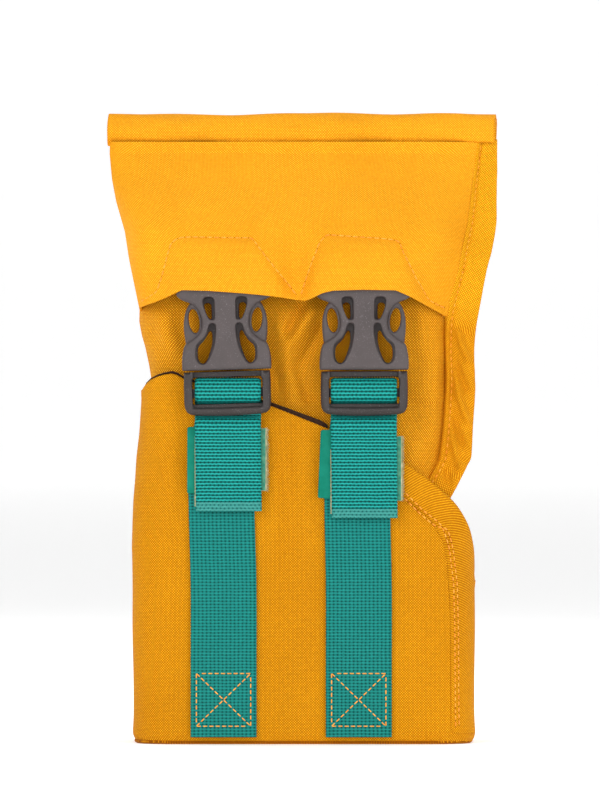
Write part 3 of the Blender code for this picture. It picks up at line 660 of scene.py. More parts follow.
# dark lining lip inside the left part of the rim; its near-black colour is also painted shade of the gap under the rim
xs = np.linspace(-60.5, 8.6, 170)
lip = np.interp(xs, [-60.5, -57, -50, -46, -40, -30, -13, -7, 0, 6, 8.6], [0.1, 0.45, 0.75, 0.8, 0.55, 0.6, 1.25, 1.5, 1.7, 1.9, 1.2])
P = np.zeros((8, len(xs), 3))
for j, (dz, dy) in enumerate(((-9.0, 1.55), (-5.0, 1.5), (-1.0, 1.45), (0.0, 1.3), (0.45, 1.05), (0.8, 0.75), (1.0, 0.35), (0.93, 0.05))):
    P[j, :, 0] = xs
    P[j, :, 1] = np.where(xs < -47.5, PF + 15.0 - 15.0 * np.sqrt(np.clip(1 - ((-47.6 - xs) / 13.9) ** 2, 0.004, 1)), PF) + dy
    P[j, :, 2] = rimz(xs) + (dz if dz < 0 else dz * lip)
UV = np.stack([P[..., 0], P[..., 2]], -1)
lipo = grid_mesh("rim_lining_lip_and_shade", P, UV, LINING_AND_SHADE)
thicken(lipo, 0.45, offset=0.0)
put(lipo, "holster", ["pouch_rim_lining"])

# ------------------------------------------------------------------ inner bag

TUBE_LEFT = ((5.0, -58.0), (139.0, -58.7), (144.0, -59.5), (150.5, -60.9), (155.4, -62.3), (160.7, -63.3), (165.0, -63.2), (170.0, -62.8), (184.0, -65.2), (206.5, -70.4), (224.8, -74.0))
TUBE_RIGHT = ((5.0, 52.6), (100.0, 53.4), (125.0, 56.0), (150.0, 56.4), (162.2, 57.0), (179.6, 59.6), (198.6, 61.6), (206.5, 62.8), (224.8, 63.8))
TUBE_FRONT = ((5.0, -26.2), (165.0, -26.2), (190.0, -24.2), (206.0, -18.6), (224.8, -8.0))
TUBE_BACK = ((5.0, 28.6), (150.0, 28.6), (175.0, 25.5), (190.0, 21.5), (206.0, 14.0), (224.8, 3.0))


def tube_relief(x, y, z, nx, ny):
    front = np.clip(-ny, 0, 1)
    f = np.zeros_like(x)
    if z > 130:
        z_ = np.full_like(x, z)
        f = f + swell(x, z_, -3.6, 152, 9.0, 18, 2.6)
        f = f + swell(x, z_, -54.0, 150, 5.5, 16, 2.0)
        f = f + swell(x, z_, 45.0, 145, 7.0, 22, 2.2)
        f = f + ridge(x, z_, PX(322, 300), PX(281, 356), 2.6, 2.4)
        f = f + ridge(x, z_, PX(304, 298), PX(286, 340), 1.9, -2.3)
        f = f + ridge(x, z_, PX(327, 318), PX(296, 372), 2.2, -2.0)
        f = f + ridge(x, z_, PX(274, 306), PX(300, 400), 3.0, 1.7)
        f = f + ridge(x, z_, PX(290, 352), PX(318, 424), 2.4, -1.8)
        f = f + ridge(x, z_, PX(272, 360), PX(284, 408), 2.4, -1.6)
        f = f + ridge(x, z_, PX(158, 305), PX(178, 362), 3.4, 1.3)
        f = f + ridge(x, z_, PX(148, 322), PX(176, 372), 2.6, -1.1)
        f = f + ridge(x, z_, PX(176, 300), PX(181, 345), 2.4, -0.9)
        f = f + ridge(x, z_, PX(408, 300), PX(420, 380), 3.0, -1.1)
        f = f + wavy(x, z_, 21, 22, 0.45)
        f = f - swell(x, z_, -4, 170, 14, 8, 1.2)
    z_ = np.full_like(x, z)
    f = f + ridge(x, z_, PX(437, 318), PX(432, 452), 3.0, 1.3)
    f = f + ridge(x, z_, PX(420, 330), PX(412, 460), 4.0, -0.9)
    f = f - 0.5
    back = np.clip(ny, 0, 1)
    g = wavy(x, z_, 31, 45, 0.8) + ridge(x, z_, (-50, 205), (-10, 160), 6, 1.6) + ridge(x, z_, (48, 205), (10, 165), 6, 1.6) \
        + ridge(x, z_, (-2, 215), (2, 160), 5, -1.2)
    lim = sm((z - rimz(x) - 1.0) / 6.0)
    lim_b = float(sm(np.array((z - 142.0) / 14.0)))
    near = 1.0 - 0.85 * float(sm(np.array((z - 196.0) / 20.0)))
    return (np.where(f > 0, f * (0.05 + 0.95 * lim), f) * front + g * back * lim_b) * near


zs = np.concatenate([np.linspace(5, 100, 20, endpoint=False), np.linspace(100, 210, 150, endpoint=False), np.linspace(210, 224.8, 16)])
rows = []
for z in zs:
    r = rounded(lerp(TUBE_LEFT, z), lerp(TUBE_RIGHT, z), lerp(TUBE_FRONT, z), lerp(TUBE_BACK, z), 16.0, nf=120, nc=16, ns=18)
    tang = np.roll(r, -1, 0) - np.roll(r, 1, 0)
    nrm = np.stack([tang[:, 1], -tang[:, 0]], 1)
    nrm = nrm / (np.linalg.norm(nrm, axis=1)[:, None] + 1e-9)
    if ((r - r.mean(0)) * nrm).sum() < 0:
        nrm = -nrm
    rel = tube_relief(r[:, 0], r[:, 1], float(z), nrm[:, 0], nrm[:, 1])
    xy = r + nrm * rel[:, None]
    rows.append(np.stack([xy[:, 0], xy[:, 1], np.full(len(r), z)], 1))
P = np.array(rows)
TUBE_P = P
s_mid = arclen(P[80][:, :2])
UV = np.zeros(P.shape[:2] + (2,))
UV[..., 0] = s_mid[None, :]
dz = np.concatenate([[0], np.cumsum(np.linalg.norm(np.diff(P[:, 150, :], axis=0), axis=1))])
UV[..., 1] = dz[:, None]
tube = grid_mesh("dry_tube_fabric", P, UV, THROAT_BRIGHTENED, wrap=True)
thicken(tube, 0.9, offset=-1.0)
put(tube, "dry_bag", ["dry_tube"])

bring = rounded(-57.6, 52.2, -25.8, 28.2, 15.6, nf=60, nc=10, ns=10)
bc = bring.mean(0)
rows = []
for s, z in ((0.02, 3.0), (0.5, 3.0), (0.9, 3.0), (0.985, 3.1), (1.0, 3.6), (1.0, 4.4), (0.985, 4.9), (0.9, 5.0), (0.5, 5.0), (0.02, 5.0)):
    q = bc + (bring - bc) * s
    rows.append(np.stack([q[:, 0], q[:, 1], np.full(len(q), z)], 1))
P = np.array(rows)
tb = grid_mesh("tube_base_panel", P, P[..., :2].copy(), BASE, wrap=True)
bm = bmesh.new(); bm.from_mesh(tb.data)
bmesh.ops.holes_fill(bm, edges=[e for e in bm.edges if e.is_boundary], sides=0)
bmesh.ops.recalc_face_normals(bm, faces=bm.faces[:])
bm.to_mesh(tb.data); bm.free()
tb.data.shade_smooth()
put(tb, "dry_bag", ["tube_base"])

# seam flange down the right side
SEAM = [(x, z) for x, z in (PX(479.5, 137), PX(475.6, 165), PX(472.6, 184), PX(470.8, 200), PX(467.8, 221), PX(463, 243), PX(458, 271), PX(450, 301), PX(447, 317), PX(446, 345), PX(447, 380), PX(446, 400),
                            PX(443.4, 435), PX(440.6, 457), PX(436.5, 467), PX(428.7, 479.3), PX(421, 489), PX(415, 497))]
OUTER = [(x, z) for x, z in (PX(499, 137), PX(498.8, 165), PX(498.4, 184), PX(498, 200), PX(497.5, 223), PX(493, 249), PX(487.5, 270), PX(481, 304), PX(477, 327), PX(475, 351), PX(475.7, 377), PX(476, 392),
                             PX(474, 425), PX(472, 456), PX(468.5, 465), PX(460, 482), PX(450.5, 499.5), PX(443, 511))]
FLANGE_Y = ((88.0, -23.6), (96.0, -23.6), (101.0, -23.0), (107.0, -22.0), (118.0, -21.0), (140.0, -21.5), (170.0, -22.5), (185.0, -21.5), (206.0, -13.5), (224.8, -7.0), (230.0, -7.0))


def flange_line(w):
    a, b = np.array(SEAM), np.array(OUTER)
    return spline(a + (b - a) * w, 0.5)


m, n = 30, 260
rows = []
for i in range(m):
    w = i / (m - 1)
    q = flange_line(-0.07 + 1.07 * w)
    q = np.stack([np.interp(np.linspace(0, 1, n), np.linspace(0, 1, len(q)), q[:, k]) for k in range(2)], 1)
    y = lerpv(FLANGE_Y, q[:, 1])
    z = q[:, 1]
    bead = -0.7 * math.exp(-((w - 0.12) / 0.06) ** 2) + 0.7 * math.exp(-((w - 0.25) / 0.045) ** 2)
    wave_in = sm((w - 0.22) / 0.3)
    fold = wave_in * (0.9 * np.sin(z / 6.3 + 1.0) * np.exp(-((z - 128) / 26) ** 2) + 0.5 * np.sin(z / 3.4 + 2.6 * w) * np.exp(-((z - 112) / 15) ** 2) + wavy(q[:, 0], z, 17, 20, 0.35))
    dent = 1.6 * np.exp(-((z - 105.5) / 4.5) ** 2) * math.exp(-((w - 0.58) / 0.18) ** 2)
    for (a_, b_, wd, ht) in ((PX(453, 322), PX(472, 368), 1.5, -1.2), (PX(452, 352), PX(470, 398), 1.3, 1.0), (PX(450, 376), PX(472, 430), 1.6, -1.3), (PX(448, 404), PX(466, 452), 1.3, 1.1),
                             (PX(446, 428), PX(464, 474), 1.5, -1.2), (PX(440, 452), PX(452, 490), 1.4, 0.9)):
        fold = fold + wave_in * ridge(q[:, 0], z, a_, b_, wd, ht)
    tuck_in = 2.4 * math.exp(-(w / 0.05) ** 2) * (1 - sm((z - 158.0) / 6.0)) - 0.5 * math.exp(-((w - 0.05) / 0.06) ** 2) * sm((z - 162.0) / 6.0)
    rows.append(np.stack([q[:, 0], y + bead + 2.1 * fold + dent + 0.7 * w + tuck_in, z], 1))
P = np.array(rows).transpose(1, 0, 2)
along = np.concatenate([[0], np.cumsum(np.linalg.norm(np.diff(P[:, m // 2], axis=0), axis=1))])
across = np.concatenate([np.zeros((n, 1)), np.cumsum(np.linalg.norm(np.diff(P, axis=1), axis=2), axis=1)], 1)
UV = np.stack([across, -np.repeat(along[:, None], m, 1)], -1)
flange = grid_mesh("seam_flange_fabric", P, UV, FLANGE, flip=True)
thicken(flange, 1.5, offset=-1.0)
put(flange, "dry_bag", ["side_seam_flange"])
FL = P
col = int(round(0.25 * (m - 1)))
line = P[:, col].copy()
d = np.zeros_like(line); d[:, 1] = -1
stitches("flange_stitch", line, d, "dry_bag", length=1.7, gap=0.9, radius=0.17, sink=0.10)

# yoke panel
YOKE_FRONT = ((160.0, -39.6), (174.0, -39.7), (180.0, -39.3), (186.0, -37.8), (196.0, -32.8), (206.5, -25.2), (216.0, -17.0), (224.8, -10.1), (229.8, -10.3))
YOKE_LEFT = ((160.0, -62.4), (165.8, -63.2), (184.0, -67.0), (195.0, -68.8), (206.5, -72.1), (215.0, -73.7), (224.8, -74.6), (230.0, -74.4))


def yoke_depth(x, z):
    """y of the yoke's outer face over the front plane."""
    yf = lerpv(YOKE_FRONT, z)
    thr = lerpv(TUBE_FRONT, z) - 1.4
    over = 1 / (1 + ((x + 29.4) / 22.0) ** 10) + 1 / (1 + ((x - 22.4) / 21.5) ** 10)
    over = np.clip(over, 0, 1)
    low = 1 - sm((z - 176) / 22.0)
    mixed = 0.42 + 0.58 * over
    k = mixed * low + 1.0 * (1 - low)
    y = thr + (yf - thr) * k
    return y


left_trap = [PX(*q) for q in ((141, 301), (149.6, 296), (156, 291.8), (159, 284), (162, 275.5), (167, 256.6), (169.4, 248.5), (172.4, 242.3), (179.6, 238), (191, 237), (210, 237.3), (237, 237.8), (250, 238), (254, 241), (265, 255.6), (276.5, 270), (289, 285), (294, 292), (297.5, 296))]
right_trap = [PX(*q) for q in ((301, 295), (305, 282), (310, 267.6), (313, 259), (316, 252), (319, 244), (324.4, 237), (329, 235), (342.5, 235.7), (362.6, 237.2), (382.7, 238.6), (395, 240.3), (399.5, 243), (403, 252), (407.6, 261), (416, 278), (421, 286), (426, 295), (430.6, 300.6), (439, 305), (445, 307.5))]

from mathutils.kdtree import KDTree
groove_tree = None
_pts = np.vstack([spline(left_trap, 0.3), spline(right_trap, 0.3)])
groove_tree = KDTree(len(_pts))
for _i, _q in enumerate(_pts):
    groove_tree.insert((_q[0], _q[1], 0.0), _i)
groove_tree.balance()


def inside(poly, x, z):
    hit = np.zeros(np.shape(x), bool)
    for (xa, za), (xb, zb) in zip(poly, poly[1:] + poly[:1]):
        if za == zb:
            continue
        cross = (za > z) != (zb > z)
        hit ^= cross & (x < (xb - xa) * (z - za) / (zb - za) + xa)
    return hit


TRAP_L = left_trap + [(left_trap[-1][0], 160.0), (left_trap[0][0], 160.0)]
TRAP_R = right_trap + [(right_trap[-1][0], 160.0), (right_trap[0][0], 160.0)]
ROWS, COLS = 170, 340
us = np.linspace(0, 1, COLS)
P = np.zeros((ROWS, COLS, 3))
for j in range(ROWS):
    t = j / (ROWS - 1)
    # x across the front plane; the first 12% lies round the left side
    z_top = 229.4
    xn = -62.6 + (us - 0.12) / 0.88 * (53.8 + 62.6)
    hemz = np.where(us < 0.12, 165.8 - 2.5 * (0.12 - us) / 0.12, lerpv(HEM, xn))
    z = hemz + (z_top - hemz) * t
    xl = lerpv(YOKE_LEFT, z)
    xr = lerpv([(a, b) for a, b in sorted([(zz, xx) for xx, zz in SEAM])], z) + 0.3
    k = np.clip((us - 0.12) / 0.88, 0, 1)
    x = xl + (xr - xl) * k
    yside = np.minimum(-3.0, lerpv(YOKE_FRONT, z) + 30.0)
    yfront = yoke_depth(x, z)
    # round the left corner: a quarter ellipse from the side to the front
    cw = 12.0
    dx = np.clip((x - xl) / cw, 0, 1)
    round_l = np.sqrt(np.clip(1 - (1 - dx) ** 2, 0, 1))
    ycorner = yside - 8.0
    y = np.where(us < 0.12, yside + (ycorner - yside) * (us / 0.12), ycorner + (yfront - ycorner) * round_l)
    # down to the seam at the right
    yr = lerpv(FLANGE_Y, z) - 0.7
    dr = np.clip((xr - x) / 20.5, 0, 1)
    round_r = 1 - (1 - dr) ** 2.2
    y = np.where(k > 0.5, yr + (y - yr) * round_r, y)
    front = np.clip((us - 0.2) / 0.1, 0, 1)
    rel = wavy(x, z, 41, 46, 0.45)
    rel = rel + ridge(x, z, PX(257, 190), PX(263, 262), 2.6, 0.9) + ridge(x, z, PX(247, 190), PX(252, 240), 3.0, -0.6)
    rel = rel + ridge(x, z, PX(325, 190), PX(318, 250), 2.8, 0.9) + ridge(x, z, PX(334, 190), PX(331, 235), 3.0, -0.6)
    rel = rel + ridge(x, z, PX(290, 215), PX(300, 296), 5.0, -0.8)
    rel = rel + ridge(x, z, PX(404, 243), PX(432, 296), 3.0, -0.5) + ridge(x, z, PX(436, 215), PX(430, 290), 5.0, 0.7)
    rel = rel + ridge(x, z, PX(140, 205), PX(160, 285), 5.0, 0.8)
    y = y - rel * front * (1 - sm((z - 214) / 10.0))
    # the folded edge of the hem turns in a little
    lip = np.exp(-((z - hemz) / 0.55) ** 2)
    gd = np.array([groove_tree.find((a_, b_, 0.0))[2] for a_, b_ in zip(x, z)])
    y = y + (0.42 * np.exp(-(gd / 0.75) ** 2) - 0.16 * np.exp(-((gd - 2.0) / 1.0) ** 2)) * front
    hump = np.where(inside(TRAP_L, x, z) | inside(TRAP_R, x, z), 1.0, 0.0) * sm(gd / 3.5)
    y = y - 0.85 * hump * front
    y = y + 0.45 * lip * front
    P[j] = np.stack([x, y, z], 1)
UV = np.zeros((ROWS, COLS, 2))
UV[..., 0] = np.concatenate([[0], np.cumsum(np.linalg.norm(np.diff(P[ROWS // 2], axis=0), axis=1))])[None, :]
UV[..., 1] = np.concatenate([np.zeros((1, COLS)), np.cumsum(np.linalg.norm(np.diff(P, axis=0), axis=2), axis=0)], 0) + P[0, :, 2][None]
yoke = grid_mesh("yoke_panel_fabric", P, UV, YOKE, centre=np.array([0.0, 120.0, 190.0]))
thicken(yoke, 1.1, offset=-1.0)
put(yoke, "dry_bag", ["yoke_panel"])
YP = P


def on_yoke(pts, out=0.0):
    """Points on the yoke from front-plane (x, z)."""
    flat = YP[:, COLS // 8:].reshape(-1, 3)
    from mathutils.kdtree import KDTree
    t = on_yoke.tree
    if t is None:
        t = KDTree(len(flat))
        for i, p in enumerate(flat):
            t.insert((p[0], p[2], 0.0), i)
        t.balance()
        on_yoke.tree = t
    got = []
    for x, z in pts:
        near = t.find_n((x, z, 0.0), 4)
        wsum = sum(1.0 / (d + 0.05) for _, _, d in near)
        y = sum(flat[i][1] / (d + 0.05) for _, i, d in near) / wsum
        got.append((x, y - out, z))
    return np.array(got)


on_yoke.tree = None


def front_stitch(name, pts, body, **kw):
    q = spline(pts, 0.4)
    p = on_yoke(q)
    k = np.ones(9) / 9
    pad = np.concatenate([np.full(4, p[0, 1]), p[:, 1], np.full(4, p[-1, 1])])
    p[:, 1] = np.convolve(pad, k, "valid")
    d = np.zeros_like(p); d[:, 1] = -1
    return stitches(name, p, d, body, **kw)


front_stitch("left_anchor_stitch", left_trap, "dry_bag", length=2.2, gap=0.6, radius=0.21, sink=0.0, hole_r=0.17)
front_stitch("right_anchor_stitch", right_trap, "dry_bag", length=2.2, gap=0.6, radius=0.21, sink=0.0, start=0.4, hole_r=0.17)

# ------------------------------------------------------------------ webbing

WEB_W, WEB_T = 25.0, 1.5
FIXED_Y, TAIL_Y = PF - 0.3 - 0.8, PF - 0.3 - 0.8 - 3.4


def strip(name, path, xs, width, mat, body, nodes, thick=WEB_T, rib=1.24, rib_h=0.07, flat_from=None, step=0.31, edge_wave=0.05, width_of=None, rib_from=None):
    """A woven strip: closed section swept along a (y, z) path. rib_h raises a cross rib every rib mm."""
    data = np.column_stack([np.array(path, float), np.array(xs, float)])
    line = spline(data, step)
    tang = np.gradient(line[:, :2], axis=0)
    tang = tang / np.linalg.norm(tang, axis=1)[:, None]
    ny, nz = tang[:, 1], -tang[:, 0]            # one side of the strip
    along = np.concatenate([[0], np.cumsum(np.linalg.norm(np.diff(line[:, :2], axis=0), axis=1))])
    total = along[-1]
    N = 26
    uu = np.linspace(-1, 1, N)
    half = width / 2 + edge_wave * np.sin(along * 2 * math.pi / rib)
    if width_of is not None:
        half = half * np.array([width_of(a / total) for a in along])
    amp = np.full(len(line), rib_h)
    if flat_from is not None:
        amp = amp * (1 - 0.8 * sm((along - (total - flat_from)) / 4.0))
    if rib_from is not None:
        amp = np.where(along < rib_from, amp * 0.55, amp)
    ribs = amp * (np.abs(np.sin(along * math.pi / rib)) ** 0.8)
    t = thick / 2
    if flat_from is not None:
        tt = t * (1 - 0.25 * sm((along - (total - flat_from)) / 3.0))
    else:
        tt = np.full(len(line), t)
    cols, us_ = [], []
    for s in (1, -1):
        for u in (uu if s == 1 else uu[::-1]):
            edge = math.sqrt(max(0.0, 1 - max(0.0, (abs(u) - 0.94) / 0.06) ** 2))
            h = (tt + ribs) * (0.35 + 0.65 * edge)
            x = line[:, 2] + u * half
            cols.append(np.stack([x, line[:, 0] + s * ny * h, line[:, 1] + s * nz * h], 1))
            us_.append(u * width / 2 + (0 if s == 1 else 100))
    P = np.array(cols).transpose(1, 0, 2)
    UV = np.zeros(P.shape[:2] + (2,))
    UV[..., 0] = np.array(us_)[None, :]
    UV[..., 1] = along[:, None]
    o = grid_mesh(name, P, UV, mat, wrap=True)
    bm = bmesh.new(); bm.from_mesh(o.data)
    bmesh.ops.holes_fill(bm, edges=[e for e in bm.edges if e.is_boundary], sides=0)
    bmesh.ops.recalc_face_normals(bm, faces=bm.faces[:])
    bm.to_mesh(o.data); bm.free()
    o.data.shade_smooth()
    if body:
        put(o, body, nodes)
    return o, line, along


def strap(side, x_low, x_mid, x_top, tail_end):
    F, T = FIXED_Y, TAIL_Y
    path = [(F, 2.8), (F, 30.0), (F, 60.0), (F, 87.0), (F, 105.0), (F, 124.0), (F, 133.0),
            (F - 0.5, 136.0), (F - 1.6, 137.6), (F - 3.3, 138.3), (F - 5.2, 138.1),
            (F - 6.5, 137.0), (F - 7.0, 135.2), (F - 7.0, 133.0), (F - 6.5, 131.4),
            (F - 5.2, 130.7), (F - 3.6, 130.45), (F - 2.4, 129.7), (F - 1.95, 128.2),
            (F - 1.95, 125.2), (F - 2.4, 123.9), (F - 3.6, 123.1), (F - 4.4, 121.6), (F - 4.3, 119.0), (T - 0.2, 115.5), (T, 110.0), (T, 100.0), (T, tail_end)]
    xs = [x_low, x_low, x_low, x_mid, x_mid, x_top, x_top] + [x_top] * (len(path) - 7)
    xs[-4:] = [x_top, x_top + 0.1, x_top + 0.2, x_top + 0.3]
    o, line, along = strip(side + "_webbing", path, xs, WEB_W, TEAL, "holster", [side + "_strap_webbing"], flat_from=5.5, rib_from=128.0)
    o.data.materials.append(TEAL_FLAT)
    o.data.materials.append(TEAL_END)
    # the sewn run has the flatter weave
    fixed = [i for i, p in enumerate(o.data.polygons)]
    for p in o.data.polygons:
        c = p.center
        if c.z < 0.124 and (c.y * 1000 - SY) > FIXED_Y - 1.2:
            p.material_index = 1
        elif c.z < (tail_end + 3.4) * 0.001 and (c.y * 1000 - SY) < FIXED_Y - 1.2:
            p.material_index = 2
    return o


strap("left", -30.9, -31.6, -29.2, 88.6)
strap("right", 20.4, 19.9, 22.3, 86.0)

# sewn box and cross at the foot of each strap
for side, cx in (("left", -30.9), ("right", 20.4)):
    y = FIXED_Y - WEB_T / 2 - 0.12
    x0, x1, z0, z1 = cx - 10.3, cx + 10.3, 7.0, 27.0
    for k, pts in enumerate((((x0, z0), (x1, z0)), ((x1, z0), (x1, z1)), ((x1, z1), (x0, z1)), ((x0, z1), (x0, z0)), ((x0, z0), (x1, z1)), ((x0, z1), (x1, z0)))):
        a, b = np.array(pts[0]), np.array(pts[1])
        q = a + (b - a) * np.linspace(0, 1, 60)[:, None]
        line = np.stack([q[:, 0], np.full(60, y), q[:, 1]], 1)
        d = np.zeros_like(line); d[:, 1] = -1
        stitches(f"{side}_foot_stitch_{k}", line, d, "holster", length=1.9, gap=0.6, holes=False)


def slab(name, outline, y0, y1, mat, body, nodes, bevel=0.35, sub=0.9):
    """A thin tab from an (x, z) outline, with soft edges."""
    bm = bmesh.new()
    vs = [bm.verts.new(W((x, y0, z))) for x, z in outline]
    f = bm.faces.new(vs)
    ext = bmesh.ops.extrude_face_region(bm, geom=[f])
    moved = [g for g in ext["geom"] if isinstance(g, bmesh.types.BMVert)]
    bmesh.ops.translate(bm, vec=(0, (y1 - y0) * 0.001, 0), verts=moved)
    bmesh.ops.recalc_face_normals(bm, faces=bm.faces[:])
    bmesh.ops.bevel(bm, geom=bm.edges[:], offset=bevel * 0.001, segments=3, profile=0.6, affect="EDGES")
    mesh = bpy.data.meshes.new(name)
    bm.to_mesh(mesh); bm.free()
    mesh.materials.append(mat)
    mesh.shade_smooth()
    o = bpy.data.objects.new(name, mesh)
    bpy.context.scene.collection.objects.link(o)
    put(o, body, nodes)
    return o


Y0, Y1 = TAIL_Y + 0.8 + 0.32, FIXED_Y - 0.8 - 0.32
slab("left_hook_tape", [PX(187.2, 428), PX(187, 492.5), PX(188, 493.6), (-30.2, PX(0, 494)[1]), (-30.2, PX(0, 427)[1]), PX(189.5, 426.8)], Y0, Y1, HOOK, "holster", ["left_hook_tab"])
slab("right_hook_tape", [PX(320.7, 431), PX(317.8, 497), PX(319, 498.2), (21.0, PX(0, 499)[1]), (21.0, PX(0, 430)[1]), PX(322.5, 429.8)], Y0, Y1, HOOK, "holster", ["right_hook_tab"])


def fuzzy(name, x0, x1, z0, z1, node):
    zs_ = np.linspace(z0, z1, 60)
    edge = [(x1 - 0.9 + RNG.uniform(-0.22, 0.22), z) for z in zs_]
    outline = [(x0, z0)] + edge + [(x0, z1)]
    outline = outline[::-1]
    o = slab(name, outline, Y0, Y1, LOOP, "holster", [node], bevel=0.12)
    slab(name + "_backing", [(x0 + 1.0, z0 + 0.5), (x1 - 1.35, z0 + 0.2), (x1 - 1.35, z1 - 0.2), (x0 + 1.0, z1 - 0.4)][::-1], Y0 - 0.16, Y0 + 0.3, LOOP_BACK, "holster", (), bevel=0.1)
    # loops of pile standing out of the free edge and face
    verts, faces = [], []
    for _ in range(900):
        z = RNG.uniform(z0 + 0.1, z1 - 0.1)
        x = x1 - 0.9 - abs(RNG.gauss(0, 0.5))
        y = RNG.uniform(Y0 + 0.05, Y1 - 0.05)
        a = RNG.uniform(-0.9, 0.9)
        ln = RNG.uniform(0.5, 1.5)
        d = np.array([math.cos(a), RNG.uniform(-0.25, 0.25), math.sin(a)])
        curl = np.array([RNG.uniform(-0.3, 0.3), RNG.uniform(-0.2, 0.2), RNG.uniform(-0.5, 0.5)])
        p = np.array([x, y, z])
        pts = [p, p + d * ln * 0.55 + curl * 0.2, p + d * ln * 0.8 + curl * ln * 0.5]
        b = len(verts)
        for k, q in enumerate(pts):
            r = 0.055 * (1 - 0.25 * k)
            for s in range(3):
                an = 2 * math.pi * s / 3
                verts.append(q + np.array([0, r * math.cos(an), r * math.sin(an)]))
        for k in range(2):
            for s in range(3):
                t = (s + 1) % 3
                faces.append([b + k * 3 + s, b + k * 3 + t, b + (k + 1) * 3 + t, b + (k + 1) * 3 + s])
        faces.append([b, b + 2, b + 1]); faces.append([b + 6, b + 7, b + 8])
    v = np.array(verts)
    v[:, 1] = v[:, 1].clip(Y0 - 0.1, Y1 + 0.1)
    mesh = bpy.data.meshes.new(name + "_pile")
    mesh.from_pydata(W(v).tolist(), [], faces)
    mesh.materials.append(LOOP)
    pile = bpy.data.objects.new(name + "_pile", mesh)
    bpy.context.scene.collection.objects.link(pile)
    put(pile, "holster", ())


for nm, xl, za, zb in (("left", -29.2 - 12.5, 90.4, 117.0), ("right", 22.3 - 12.5, 87.6, 112.0)):
    zz_ = np.linspace(za, zb, 70)
    ragged = [(xl - 0.10 + RNG.uniform(-0.10, 0.08), z) for z in zz_]
    slab(nm + "_tail_worn_edge", [(xl + 1.2, za)] + [(xl + 1.2, zb)] + ragged[::-1], TAIL_Y + 0.1, TAIL_Y + 0.75, LOOP, "holster", (), bevel=0.06)
fuzzy("left_loop_tape", -29.8, PX(269.0, 0)[0], PX(0, 491)[1], PX(0, 428)[1], "left_loop_tab")
fuzzy("right_loop_tape", 21.4, PX(404.6, 0)[0], PX(0, 501)[1], PX(0, 436)[1], "right_loop_tab")

# ------------------------------------------------------------------ buckles

LX, RX, BY, RING_Z = -29.6, 22.4, -34.2, 142.2
THICK, PRONG_T = 8.0, 4.7


def closed_spline(points, step=0.35, corners=()):
    """A smooth closed outline through points; corners lists the indices that stay sharp."""
    p = [np.array(q, float) for q in points]
    n = len(p)
    out = []
    for i in range(n):
        b, c = p[i], p[(i + 1) % n]
        a = p[(i - 1) % n] if i not in corners else 2 * b - c
        d = p[(i + 2) % n] if (i + 1) % n not in corners else 2 * c - b
        m_ = max(1, int(np.linalg.norm(c - b) / step))
        for k in range(m_):
            t = k / m_
            out.append(0.5 * (2 * b + (c - a) * t + (2 * a - 5 * b + 4 * c - d) * t ** 2 + (3 * b - a - 3 * c + d) * t ** 3))
    return np.array(out)


def prism_obj(name, outline, y0, y1):
    n = len(outline)
    v = [(x, y0, z) for x, z in outline] + [(x, y1, z) for x, z in outline]
    f = [list(range(n)), list(range(2 * n - 1, n - 1, -1))] + [[i, (i + 1) % n, n + (i + 1) % n, n + i] for i in range(n)]
    mesh = bpy.data.meshes.new(name)
    mesh.from_pydata((np.array(v) * 0.001).tolist(), [], f)
    bm = bmesh.new(); bm.from_mesh(mesh)
    bmesh.ops.recalc_face_normals(bm, faces=bm.faces[:])
    bm.to_mesh(mesh); bm.free()
    o = bpy.data.objects.new(name, mesh)
    bpy.context.scene.collection.objects.link(o)
    return o


def fillet(co, loops, t0, t1):
    """Rounds the edges of a flat moulding to a true quarter round. loops is (outline, radius, is the outside);
    t0 and t1 are how far the faces stand in front of and behind y = 0."""
    from mathutils.kdtree import KDTree
    pts, nor, rad = [], [], []
    for line, r, outside in loops:
        line = np.asarray(line, float)
        area = 0.5 * np.sum(line[:, 0] * np.roll(line[:, 1], -1) - np.roll(line[:, 0], -1) * line[:, 1])
        q = respace(np.vstack([line, line[:1]]), 0.12)[:-1]
        t = np.roll(q, -1, 0) - np.roll(q, 1, 0)
        t = t / (np.linalg.norm(t, axis=1)[:, None] + 1e-9)
        n = np.stack([-t[:, 1], t[:, 0]], 1) * (1 if area > 0 else -1) * (1 if outside else -1)
        pts.append(q); nor.append(n); rad.append(np.full(len(q), r))
    pts, nor, rad = np.vstack(pts), np.vstack(nor), np.concatenate(rad)
    tree = KDTree(len(pts))
    for i, p in enumerate(pts):
        tree.insert((p[0], p[1], 0.0), i)
    tree.balance()
    near = np.array([tree.find((x, z, 0.0))[1] for x, z in co[:, [0, 2]]])
    n = nor[near]
    d = ((co[:, [0, 2]] - pts[near]) * n).sum(1)
    r = rad[near]
    face = np.where(co[:, 1] < 0, t0, t1)
    a = r - np.maximum(d, 0)
    b = np.abs(co[:, 1]) - (face - r)
    both = (a > 0) & (b > 0) & (d > -0.6)
    h = np.hypot(a, b)
    k = np.where(both & (h > r), r / np.maximum(h, 1e-9), 1.0)
    move = (a - a * k)
    out = co.copy()
    out[:, 0] += n[:, 0] * np.where(both, move, 0)
    out[:, 2] += n[:, 1] * np.where(both, move, 0)
    out[:, 1] = np.where(both & (h > r), np.sign(co[:, 1]) * (face - r + b * k), co[:, 1])
    return out


